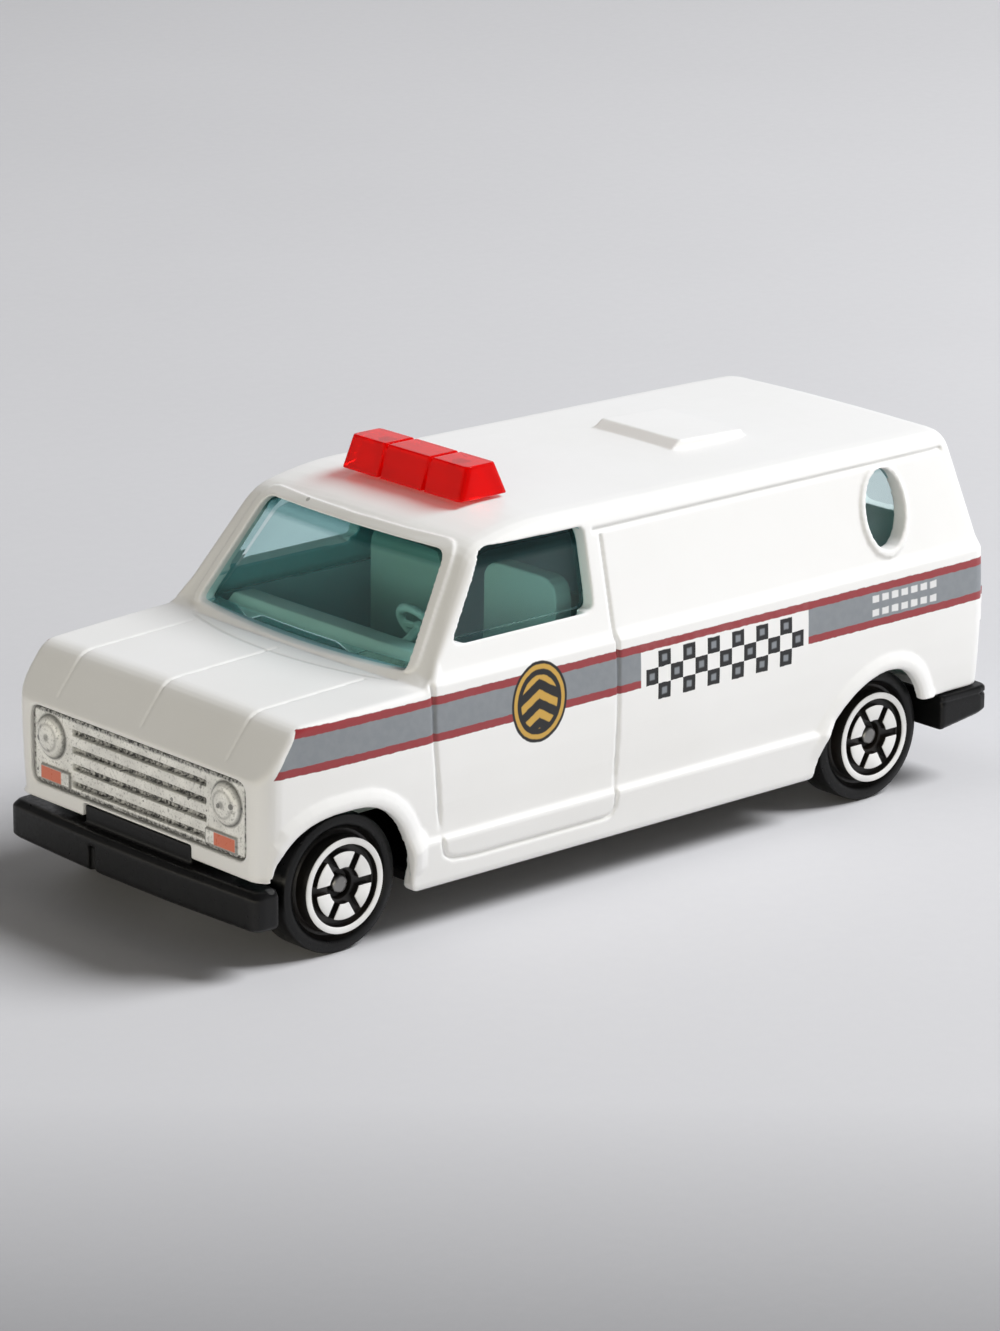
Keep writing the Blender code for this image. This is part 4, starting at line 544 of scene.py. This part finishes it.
def side_print(sizes, colours):
    """The group that prints both sides: stripe, border lines, checked panel, dashes and door emblem."""
    group, start, end = new_group(
        "van_side_print", [("Paint", "NodeSocketColor")], [("Color", "NodeSocketColor")])
    place = add(group, "ShaderNodeTexCoord").outputs["Object"]
    wobble = add(group, "ShaderNodeTexNoise", {
        "Vector": place, "Scale": RAGGED_SCALE, "Detail": 2.0}).outputs[0]
    x, y, z = axes_of(group, "Object")
    z = calc(group, "ADD", z, fade(group, wobble, NOISE_LOW, NOISE_HIGH, -PRINT_EDGE, PRINT_EDGE))
    outward = product(group, y, axes_of(group, "Normal")[1])
    outward = calc(group, "GREATER_THAN", outward, PRINT_WALL)
    side = calc(group, "GREATER_THAN", calc(group, "ABSOLUTE", y), sizes.print_depth)
    side = product(group, side, outward)
    low, high, edge = sizes.stripe_bottom, sizes.stripe_top, sizes.stripe_border
    nose = fade(group, z, low, high, sizes.stripe_nose_low, sizes.stripe_nose_high)
    behind_nose = beyond(group, calc(group, "SUBTRACT", nose, x), 0.0, PRINT_EDGE)
    panel_rear = sizes.checker_front - CHECKS * sizes.checker_square - PANEL_MARGIN
    in_panel = within(group, x, panel_rear, sizes.checker_front + PANEL_MARGIN, PRINT_EDGE)
    out_of_panel = calc(group, "SUBTRACT", 1.0, in_panel)
    worn = product(group, side, behind_nose, fade(group, wobble, *PRINT_WEAR))
    grey = product(group, within(group, z, low, high, PRINT_EDGE), worn, out_of_panel)
    colour = mixed(group, grey, start.outputs["Paint"], linear(colours.stripe))
    lower = product(group, within(group, z, low, low + edge, PRINT_EDGE), out_of_panel)
    upper = within(group, z, high - edge, high, PRINT_EDGE)
    lines = product(group, largest(group, lower, upper), worn)
    colour = mixed(group, lines, colour, linear(colours.border))
    colour = checked_panel(group, sizes, colours, colour, side, x, z)
    colour = dash_rows(group, sizes, colour, side, x, z)
    colour = door_emblem(group, sizes, colours, colour, side, x, z)
    put(group, colour, end, "Color")
    return group


def checked_panel(group, sizes, colours, colour, side, x, z):
    """Rows of black squares with grey middles, each row a step from the next."""
    step, front = sizes.checker_square, sizes.checker_front
    foot = sizes.checker_middle - CHECK_ROWS * step / 2
    along = calc(group, "DIVIDE", calc(group, "SUBTRACT", front, x), step)
    up = calc(group, "DIVIDE", calc(group, "SUBTRACT", z, foot), step)
    cell = add(group, "ShaderNodeCombineXYZ", {0: along, 1: up, 2: 0.5}).outputs[0]
    square = add(group, "ShaderNodeTexChecker", {"Vector": cell, "Scale": 1.0}).outputs["Fac"]
    rows = within(group, z, foot + PRINT_EDGE, foot + CHECK_ROWS * step - PRINT_EDGE, PRINT_EDGE)
    ends = within(group, x, front - CHECKS * step + PRINT_EDGE, front - PRINT_EDGE, PRINT_EDGE)
    black = product(group, rows, ends, side, square)
    colour = mixed(group, black, colour, linear(colours.print_black))
    core = [within(group, calc(group, "FRACT", part), *CHECK_CORE, CELL_EDGE) for part in (along, up)]
    return mixed(group, product(group, black, *core), colour, linear(colours.stripe))


def dash_rows(group, sizes, colour, side, x, z):
    """Short white dashes in two rows on the grey, near the tail."""
    middle = (sizes.stripe_bottom + sizes.stripe_top) / 2
    half = sizes.dash_height / 2
    ends = within(group, x, sizes.dash_rear, sizes.dash_front, PRINT_EDGE)
    along = calc(group, "DIVIDE", calc(group, "SUBTRACT", x, sizes.dash_rear), DASH_PITCH)
    dash = within(group, calc(group, "FRACT", along), *DASH_SHARE, CELL_EDGE)
    heights = (middle - DASH_ROW_OFFSET, middle + DASH_ROW_OFFSET)
    rows = [within(group, z, height - half, height + half, PRINT_EDGE) for height in heights]
    shown = product(group, ends, dash, largest(group, *rows), side, DASH_STRENGTH)
    return mixed(group, shown, colour, DASH_WHITE)


def door_emblem(group, sizes, colours, colour, side, x, z):
    """An upright oval with a gold rim and bent gold bars on black."""
    across = calc(group, "DIVIDE", calc(group, "SUBTRACT", x, sizes.emblem_x), sizes.emblem_wide / 2)
    up = calc(group, "DIVIDE", calc(group, "SUBTRACT", z, sizes.emblem_z), sizes.emblem_tall / 2)
    radius = distance(group, across, up)
    disc = product(group, until(group, radius, 1.0, EMBLEM_EDGE), side)
    colour = mixed(group, disc, colour, linear(colours.print_black))
    rim = within(group, radius, *EMBLEM_RIM, EMBLEM_EDGE)
    bent = calc(group, "ADD", up, product(group, calc(group, "ABSOLUTE", across), BAR_SLOPE))
    turns = calc(group, "ADD", product(group, bent, BARS_PER_UNIT), BAR_OFFSET)
    bars = within(group, calc(group, "FRACT", turns), *BAR_SHARE, BAR_EDGE)
    bars = product(group, bars, until(group, radius, BARS_WITHIN, EMBLEM_EDGE))
    gold = product(group, largest(group, rim, bars), side)
    return mixed(group, gold, colour, linear(colours.print_gold))


def black_material(colours):
    """Black moulding plastic with scuffs and a dusty bloom."""
    if "dusty_black" in bpy.data.materials:
        return bpy.data.materials["dusty_black"]
    material, tree, shader, spread = start_material("dusty_black")
    black = linear(colours.black_plastic)
    colour = clouded(tree, spread, black, dimmed(black, share=1.9), start=0.42, full=0.78, most=0.5)
    colour = speckled(tree, spread, colour, speck=(0.12, 0.12, 0.12, 1.0), strength=0.35)
    put(tree, colour, shader, "Base Color")
    put(tree, 0.3, shader, "Specular IOR Level")
    return material


def hub_material(colours):
    """Dark unpainted dish of the wheels."""
    material, tree, shader, spread = start_material("wheel_dish")
    dark = linear(colours.hub_dark)
    colour = clouded(tree, spread, dark, toned(dark, shares=(2.2, 1.8, 1.5)), start=0.4, full=0.75)
    put(tree, colour, shader, "Base Color")
    return material


def wheel_white_material(colours):
    """White print on the wheels, thin at places."""
    material, tree, shader, spread = start_material("wheel_print")
    white = linear(colours.wheel_white)
    colour = clouded(tree, spread, white, dimmed(white, share=0.82), start=0.45, full=0.8)
    colour = speckled(tree, spread, colour, speck=(0.25, 0.25, 0.25, 1.0), strength=0.5)
    put(tree, colour, shader, "Base Color")
    return material


def silver_material(colours, low, high):
    """Silvered moulding between two corners: slots and edge darkened by speckled painted shade, ringed lamps
    and amber signal ends.
    """
    material, tree, shader, spread = start_material("silvered_plastic")
    x, y, z = axes_of(tree, "Object")
    y = calc(tree, "ABSOLUTE", y)
    silver = linear(colours.silver)
    colour = clouded(tree, spread, silver, dimmed(silver, share=0.75), start=0.4, full=0.75)
    colour = speckled(tree, spread, colour, speck=(0.06, 0.06, 0.06, 1.0), strength=0.7)
    colour = mixed(tree, fade(tree, spread["Grain"], *SILVER_WEAR), colour, WORN_SILVER)
    # Painted shade in the sunk slots and along the moulding's edge, and rings of painted shade on the lamps.
    patchy = fade(tree, spread["Grain"], *SLOT_PATCHES)
    sunk = fade(tree, x, high.x - SLOT_DEPTHS[0], high.x - SLOT_DEPTHS[1], 1.0, 0.0)
    slots = product(tree, sunk, patchy, until(tree, y, SLOTS_HALF, SLOT_EDGE))
    inside = product(
        tree, until(tree, y, high.y - GRILLE_RIM, RIM_EDGE),
        within(tree, z, low.z + GRILLE_RIM, high.z - GRILLE_RIM, RIM_EDGE))
    rim = product(tree, calc(tree, "SUBTRACT", 1.0, inside), patchy)
    radius = distance(tree, calc(tree, "SUBTRACT", y, LAMP_Y), calc(tree, "SUBTRACT", z, LAMP_Z))
    rings = [product(tree, within(tree, radius, inner, outer, RING_EDGE), strength)
             for inner, outer, strength in LAMP_RINGS]
    border, pane = [
        product(tree, within(tree, y, *wide, SIGNAL_EDGE), within(tree, z, *tall, SIGNAL_EDGE))
        for wide, tall in (SIGNAL_FRAME, SIGNAL_PANE)]
    line = product(tree, calc(tree, "SUBTRACT", border, pane), SIGNAL_LINE)
    dark = largest(tree, slots, rim, *rings, line)
    colour = mixed(tree, dark, colour, SLOT_DARK)
    signal = product(tree, pane, beyond(tree, y, AMBER_FROM, AMBER_EDGE))
    colour = mixed(tree, signal, colour, linear(colours.amber))
    put(tree, colour, shader, "Base Color")
    put(tree, fade(tree, largest(tree, dark, signal), 0.0, 1.0, 0.12, 0.0), shader, "Metallic")
    return material


def ivory_material(colours):
    """Pale moulding of the seats, with painted light making the dashboard paler."""
    material, tree, shader, spread = start_material("ivory_plastic")
    ivory = linear(colours.ivory)
    colour = clouded(tree, spread, ivory, toned(ivory, shares=(0.86, 0.86, 0.78)), start=0.35, full=0.75)
    colour = speckled(tree, spread, colour, speck=(0.2, 0.18, 0.15, 1.0), strength=0.3)
    # Painted light: the dashboard paler, as where light comes in through the windscreen.
    colour = mixed(tree, fade(tree, axes_of(tree, "Object")[0], *DASH_LIGHT_SPAN), colour, DASH_PAINTED_LIGHT)
    put(tree, colour, shader, "Base Color")
    return material


def steel_material(colours):
    """Bright drawn steel with a few rusty specks."""
    material, tree, shader, spread = start_material("drawn_steel")
    steel = linear(colours.steel)
    colour = clouded(tree, spread, steel, dimmed(steel, share=0.55), start=0.35, full=0.75)
    colour = speckled(tree, spread, colour, speck=(0.12, 0.08, 0.05, 1.0), strength=0.5)
    put(tree, colour, shader, "Base Color")
    put(tree, 1.0, shader, "Metallic")
    return material


def clear_material(name, colour, daylight, clear, bend, gloss, coat=0.0, reflection=WHITE, shade=None):
    """Clear coloured plastic that lets the studio's light through, darkened by painted shade above shade if
    that is given.
    """
    material, tree, shader, spread = start_material(name)
    tint = linear(colour)
    colour = clouded(tree, spread, tint, dimmed(tint, share=0.9), start=0.35, full=0.75)
    if shade is not None:
        # Painted shade: a deeper tint above this height.
        painted_top_shade = beyond(tree, axes_of(tree, "Object")[2], shade, WINDOW_PAINTED_SHADE_EDGE)
        colour = mixed(tree, painted_top_shade, colour, toned(tint, shares=(0.25, 0.4, 0.4)))
    put(tree, colour, shader, "Base Color")
    put(tree, clear, shader, "Transmission Weight")
    put(tree, bend, shader, "IOR")
    put(tree, gloss, shader, "Specular IOR Level")
    put(tree, reflection, shader, "Specular Tint")
    put(tree, coat, shader, "Coat Weight")
    put(tree, 0.06, shader, "Coat Roughness")
    through = add(tree, "ShaderNodeBsdfTransparent", {"Color": daylight})
    path = add(tree, "ShaderNodeLightPath").outputs
    lets_light = largest(tree, path["Is Shadow Ray"], path["Is Diffuse Ray"])
    both = add(tree, "ShaderNodeMixShader", {0: lets_light, 1: shader.outputs[0], 2: through.outputs[0]})
    put(tree, both.outputs[0], tree.nodes["Material Output"], "Surface")
    return material


def only(*objects):
    """Leaves just these objects selected, the first of them active."""
    bpy.ops.object.select_all(action="DESELECT")
    for each in objects:
        each.select_set(True)
    bpy.context.view_layer.objects.active = objects[0]


def whole_mesh(operator, **settings):
    """Runs an edit-mode operator over all of the active object's mesh."""
    bpy.ops.object.mode_set(mode="EDIT")
    bpy.ops.mesh.select_all(action="SELECT")
    operator(**settings)
    bpy.ops.object.mode_set(mode="OBJECT")


def new_piece(name, mesh):
    """A new object with this mesh, in the scene and alone selected."""
    piece = bpy.data.objects.new(name, mesh)
    mesh.name = name
    bpy.context.scene.collection.objects.link(piece)
    only(piece)
    return piece


def copy_of(node, name):
    """A merged copy of a CAD node, as a new object."""
    piece = new_piece(name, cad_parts[node].data.copy())
    whole_mesh(bpy.ops.mesh.remove_doubles, threshold=MERGE_DISTANCE)
    return piece


def apply_modifiers(piece):
    """Applies all of a piece's modifiers in order."""
    only(piece)
    for name in [modifier.name for modifier in piece.modifiers]:
        bpy.ops.object.modifier_apply(modifier=name)


def soften(piece, edge, rounds):
    """Rounds every edge by about this much, as thick paint or a worn mould does."""
    coarseness = 1.0
    piece.data.transform(Matrix.Scale(1 / MM, 4))
    skin = piece.modifiers.new("skin", "REMESH")
    skin.mode = "VOXEL"
    skin.voxel_size = edge / MM * coarseness
    ease = piece.modifiers.new("ease", "SMOOTH")
    ease.factor = 0.5
    ease.iterations = rounds
    apply_modifiers(piece)
    piece.data.calc_loop_triangles()
    share = MOST_TRIANGLES / len(piece.data.loop_triangles)
    if share < 1.0:
        thin = piece.modifiers.new("thin", "DECIMATE")
        thin.ratio = share
        apply_modifiers(piece)
    piece.data.transform(Matrix.Scale(MM, 4))
    bpy.ops.object.shade_smooth()


def keep(piece, node, body, slot, *materials):
    """Puts a finished piece in the place of its CAD node."""
    piece.data.materials.clear()
    for material in materials:
        piece.data.materials.append(material)
    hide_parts(node)
    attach(piece, body)


def turned(name, section, steps):
    """A closed section of (radius, height) in millimetres, spun about the Y axis."""
    points = [Vector((radius, height, 0.0)) * MM for radius, height in section]
    edges = [(at, (at + 1) % len(points)) for at in range(len(points))]
    mesh = bpy.data.meshes.new(name)
    mesh.from_pydata(points, edges, [])
    piece = new_piece(name, mesh)
    whole_mesh(bpy.ops.mesh.spin, steps=steps, angle=math.tau, center=(0.0, 0.0, 0.0), axis=(0.0, 1.0, 0.0))
    whole_mesh(bpy.ops.mesh.remove_doubles, threshold=MERGE_DISTANCE)
    whole_mesh(bpy.ops.mesh.normals_make_consistent, inside=False)
    return piece


class VAN_OT_body(bpy.types.Operator):
    """Softens the casting's edges as thick enamel does and prints its sides"""

    bl_idname = "van.body"
    bl_label = "Body shell"

    def execute(self, context):
        sizes = context.scene.van_sizes
        shell = copy_of("body_shell", "painted_body")
        soften(shell, sizes.paint_edge, rounds=6)
        keep(shell, "body_shell", "body", "enamel", enamel_material(sizes, context.scene.van_colours))
        return {"FINISHED"}


class VAN_OT_rear_doors(bpy.types.Operator):
    """Paints the two rear doors as the body is painted"""

    bl_idname = "van.rear_doors"
    bl_label = "Rear doors"

    def execute(self, context):
        sizes = context.scene.van_sizes
        for node, body in REAR_DOORS.items():
            door = copy_of(node, "painted_" + node)
            soften(door, sizes.mould_edge, rounds=4)
            keep(door, node, body, "enamel", enamel_material(sizes, context.scene.van_colours))
        return {"FINISHED"}


class VAN_OT_base(bpy.types.Operator):
    """Moulds the black base with its bumpers"""

    bl_idname = "van.base"
    bl_label = "Base plate"

    def execute(self, context):
        base = copy_of("base_plate", "moulded_base")
        soften(base, context.scene.van_sizes.mould_edge, rounds=4)
        keep(base, "base_plate", "body", "black_plastic", black_material(context.scene.van_colours))
        return {"FINISHED"}


class VAN_OT_glazing(bpy.types.Operator):
    """Makes the tinted windows"""

    bl_idname = "van.glazing"
    bl_label = "Windows"

    def execute(self, context):
        glass = copy_of("glazing", "tinted_windows")
        bpy.ops.object.shade_smooth_by_angle(angle=GLASS_CREASE)
        tint = clear_material(
            "tinted_clear_plastic", context.scene.van_colours.tint, WINDOW_DAYLIGHT,
            clear=0.975, bend=1.03, gloss=0.5, coat=0.2, shade=WINDOW_PAINTED_SHADE_FROM)
        keep(glass, "glazing", "body", "tinted_plastic", tint)
        return {"FINISHED"}


class VAN_OT_interior(bpy.types.Operator):
    """Moulds the seats, the dashboard and the floor"""

    bl_idname = "van.interior"
    bl_label = "Interior"

    def execute(self, context):
        tray = copy_of("interior_tray", "moulded_interior")
        soften(tray, context.scene.van_sizes.paint_edge, rounds=2)
        keep(tray, "interior_tray", "body", "ivory_plastic", ivory_material(context.scene.van_colours))
        return {"FINISHED"}


class VAN_OT_grille(bpy.types.Operator):
    """Makes the silvered grille with its lamps and turn signals"""

    bl_idname = "van.grille"
    bl_label = "Grille"

    def execute(self, context):
        low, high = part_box("grille_insert")
        grille = copy_of("grille_insert", "silvered_grille")
        soften(grille, context.scene.van_sizes.fine_edge, rounds=3)
        silver = silver_material(context.scene.van_colours, low, high)
        keep(grille, "grille_insert", "body", "silver_plastic", silver)
        return {"FINISHED"}


class VAN_OT_light_bar(bpy.types.Operator):
    """Makes the red light bar on the roof"""

    bl_idname = "van.light_bar"
    bl_label = "Light bar"

    def execute(self, context):
        bar = copy_of("light_bar", "red_light_bar")
        soften(bar, context.scene.van_sizes.fine_edge, rounds=7)
        lens = clear_material(
            "red_clear_plastic", context.scene.van_colours.red_lens, RED_DAYLIGHT,
            clear=0.62, bend=1.46, gloss=0.36, reflection=RED_REFLECTION)
        keep(bar, "light_bar", "body", "red_lens", lens)
        return {"FINISHED"}


class VAN_OT_wheels(bpy.types.Operator):
    """Turns one wheel with its white ring and six pads, and sets four of it"""

    bl_idname = "van.wheels"
    bl_label = "Wheels"

    def execute(self, context):
        colours = context.scene.van_colours
        paints = (black_material(colours), hub_material(colours), wheel_white_material(colours))
        pattern = self.pattern_wheel()
        for node, (body, side) in WHEELS.items():
            low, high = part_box(node)
            middle = (low + high) / 2
            face = high.y if side > 0 else low.y
            wheel = new_piece("turned_" + node, pattern.data.copy())
            if side < 0:
                wheel.data.transform(Matrix.Rotation(math.pi, 4, "Z"))
            wheel.data.transform(Matrix.Translation((middle.x, face, middle.z)))
            paint_of = [polygon.material_index for polygon in wheel.data.polygons]
            keep(wheel, node, body, "black_plastic", *paints)
            wheel.data.polygons.foreach_set("material_index", paint_of)
        bpy.data.objects.remove(pattern)
        return {"FINISHED"}

    def pattern_wheel(self):
        """One wheel about the Y axis, with its outer face at the origin and its paints chosen."""
        wheel = turned("pattern_wheel", WHEEL_SECTION, WHEEL_STEPS)
        pads = [self.pad(turn) for turn in range(PADS)]
        only(wheel, *pads)
        bpy.ops.object.join()
        bpy.ops.object.shade_smooth_by_angle(angle=WHEEL_CREASE)
        for polygon in wheel.data.polygons:
            radius = math.hypot(polygon.center.x, polygon.center.z) / MM
            height = polygon.center.y / MM
            ring = RING_RADII[0] < radius < RING_RADII[1] and height > RING_LOWEST
            pad = radius < PADS_WITHIN and height > PADS_LOWEST
            white = (ring or pad) and polygon.normal.y > LOOKS_OUT
            dish = radius < DISH_WITHIN and height > DISH_LOWEST
            polygon.material_index = WHITE_PAINT if white else DISH_PAINT if dish else TYRE_PAINT
        return wheel

    def pad(self, turn):
        """One white pad between two spokes, rounded at its edges."""
        half = math.pi / PADS
        middle = (2 * turn + 1) * half
        outline = []
        for radius, way in zip(PAD_RADII, (1, -1)):
            reach = half - math.asin(HALF_SPOKE / radius)
            for step in range(PAD_ARC_STEPS + 1):
                angle = middle + way * reach * (2 * step / PAD_ARC_STEPS - 1)
                place = Vector((radius * math.cos(angle), PAD_FOOT, radius * math.sin(angle)))
                outline.append(place * MM)
        mesh = bpy.data.meshes.new("pad")
        mesh.from_pydata(outline, [], [tuple(range(len(outline)))])
        pad = new_piece("pad", mesh)
        rise = {"value": (0.0, PAD_RISE * MM, 0.0)}
        whole_mesh(bpy.ops.mesh.extrude_region_move, TRANSFORM_OT_translate=rise)
        whole_mesh(bpy.ops.mesh.normals_make_consistent, inside=False)
        soft = pad.modifiers.new("soft", "BEVEL")
        soft.width = PAD_ROUNDING * MM
        soft.segments = 2
        soft.limit_method = "ANGLE"
        soft.angle_limit = PAD_CREASE
        apply_modifiers(pad)
        return pad


class VAN_OT_running_gear(bpy.types.Operator):
    """Turns the two axles with domed ends and gives the springs their steel"""

    bl_idname = "van.running_gear"
    bl_label = "Axles and springs"

    def execute(self, context):
        steel = steel_material(context.scene.van_colours)
        left = list(AXLE_END_SECTION)
        right = [(radius, -height) for radius, height in reversed(left)]
        tip = left[-1][1]
        section = [(0.0, -tip)] + right + left + [(0.0, tip)]
        for node, body in AXLES.items():
            low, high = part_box(node)
            middle = (low + high) / 2
            axle = turned("turned_" + node, section, AXLE_STEPS)
            axle.data.transform(Matrix.Translation((middle.x, 0.0, middle.z)))
            bpy.ops.object.shade_smooth_by_angle(angle=AXLE_CREASE)
            keep(axle, node, body, "steel", steel)
        for node in SPRINGS:
            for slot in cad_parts[node].material_slots:
                slot.material = steel
        return {"FINISHED"}


class VAN_OT_stage(bpy.types.Operator):
    """Sets the pale floor, the studio light and the camera"""

    bl_idname = "van.stage"
    bl_label = "Studio"

    def execute(self, context):
        self.floor(context)
        self.key_lamp(context)
        self.walls(context)
        self.camera(context)
        return {"FINISHED"}

    def floor(self, context):
        """A wide pale floor with a faint mottle, darkened by painted shade ahead of the van, towards the
        camera.
        """
        bpy.ops.object.select_all(action="DESELECT")
        bpy.ops.mesh.primitive_grid_add(x_subdivisions=FLOOR_CUTS, y_subdivisions=FLOOR_CUTS, size=FLOOR_SIZE)
        floor = context.active_object
        floor.name = "studio_floor"
        material, tree, shader, spread = start_material("studio_floor")
        pale = linear(context.scene.van_colours.floor)
        colour = clouded(tree, spread, pale, dimmed(pale, share=0.96), start=0.3, full=0.7)
        place = add(tree, "ShaderNodeTexCoord").outputs["Object"]
        # Painted shade: the floor darkens towards the camera.
        near = add(tree, "ShaderNodeVectorMath", {0: place, 1: FLOOR_NEAR_WAY}, operation="DOT_PRODUCT")
        dark = dimmed(pale, FLOOR_NEAR_SHADE)
        colour = mixed(tree, fade(tree, near.outputs["Value"], *FLOOR_NEAR), colour, dark)
        put(tree, colour, shader, "Base Color")
        floor.data.materials.append(material)

    def key_lamp(self, context):
        """A soft lamp behind and above the van's left rear corner."""
        lamp = bpy.data.lights.new("key", "AREA")
        lamp.shape = "DISK"
        lamp.size = KEY_SIZE
        lamp.energy = KEY_POWER
        lamp.color = KEY_COLOUR
        key = bpy.data.objects.new("key", lamp)
        key.location = KEY_PLACE
        key.rotation_euler = (Vector(KEY_TARGET) - key.location).to_track_quat("-Z", "Y").to_euler()
        key.visible_glossy = False
        context.scene.collection.objects.link(key)

    def walls(self, context):
        """Dim walls, a paler one at the rear, a dark ceiling and a low bright panel ahead of the van."""
        world = bpy.data.worlds.new("studio")
        context.scene.world = world
        world.use_nodes = True
        tree = world.node_tree
        way = add(tree, "ShaderNodeTexCoord").outputs["Generated"]
        axes = add(tree, "ShaderNodeSeparateXYZ", {0: way}).outputs
        around = mixed(tree, fade(tree, axes[0], *REAR_FADE), WALLS, REAR_WALL)
        around = mixed(tree, fade(tree, axes[2], *CEILING_FADE), around, CEILING)
        ahead = add(tree, "ShaderNodeVectorMath", {0: way, 1: FRONT_WAY}, operation="DOT_PRODUCT")
        low = fade(tree, axes[2], *FRONT_TOP, 1.0, 0.0)
        panel = product(tree, fade(tree, ahead.outputs["Value"], *FRONT_FADE), low)
        backdrop = tree.nodes["Background"]
        put(tree, mixed(tree, panel, around, FRONT_PANEL), backdrop, "Color")
        put(tree, 1.0, backdrop, "Strength")

    def camera(self, context):
        """The view from ahead of the van's left front corner."""
        flat = math.cos(CAMERA_ELEVATION)
        sine, cosine = math.sin(CAMERA_AZIMUTH), math.cos(CAMERA_AZIMUTH)
        back = Vector((sine * flat, -cosine * flat, math.sin(CAMERA_ELEVATION)))
        right = Vector((cosine, sine, 0.0))
        up = back.cross(right)
        right = right * math.cos(CAMERA_ROLL) + up * math.sin(CAMERA_ROLL)
        up = back.cross(right)
        made = bpy.data.cameras.new("studio_camera")
        made.sensor_fit = "AUTO"
        made.sensor_width = CAMERA_SENSOR
        made.lens = CAMERA_LENS
        made.clip_start = CAMERA_NEAREST
        camera = bpy.data.objects.new("studio_camera", made)
        turn = Matrix((right, up, back)).transposed().to_4x4()
        camera.matrix_world = Matrix.Translation(Vector(CAMERA_TARGET) + back * CAMERA_DISTANCE) @ turn
        context.scene.collection.objects.link(camera)
        context.scene.camera = camera
        context.scene.view_settings.view_transform = "Standard"


class VAN_PT_pieces(bpy.types.Panel):
    """Lists the steps that dress the van."""

    bl_idname = "VAN_PT_pieces"
    bl_label = "Police van"
    bl_space_type = "VIEW_3D"
    bl_region_type = "UI"
    bl_category = "Van"

    def draw(self, context):
        for step in STEPS:
            self.layout.operator(step.bl_idname)
        for group in (context.scene.van_sizes, context.scene.van_colours):
            for name in group.bl_rna.properties.keys():
                if name not in ("name", "rna_type"):
                    self.layout.prop(group, name)


STEPS = (
    VAN_OT_body,
    VAN_OT_rear_doors,
    VAN_OT_base,
    VAN_OT_glazing,
    VAN_OT_interior,
    VAN_OT_grille,
    VAN_OT_light_bar,
    VAN_OT_wheels,
    VAN_OT_running_gear,
    VAN_OT_stage,
)
CLASSES = (VanSizes, VanColours) + STEPS + (VAN_PT_pieces,)


def register():
    for each in CLASSES:
        bpy.utils.register_class(each)
    bpy.types.Scene.van_sizes = bpy.props.PointerProperty(type=VanSizes)
    bpy.types.Scene.van_colours = bpy.props.PointerProperty(type=VanColours)


def unregister():
    del bpy.types.Scene.van_colours
    del bpy.types.Scene.van_sizes
    for each in reversed(CLASSES):
        bpy.utils.unregister_class(each)


def main():
    """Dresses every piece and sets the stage."""
    register()
    bpy.ops.van.body()
    bpy.ops.van.rear_doors()
    bpy.ops.van.base()
    bpy.ops.van.glazing()
    bpy.ops.van.interior()
    bpy.ops.van.grille()
    bpy.ops.van.light_bar()
    bpy.ops.van.wheels()
    bpy.ops.van.running_gear()
    bpy.ops.van.stage()


if __name__ == "__main__":
    main()
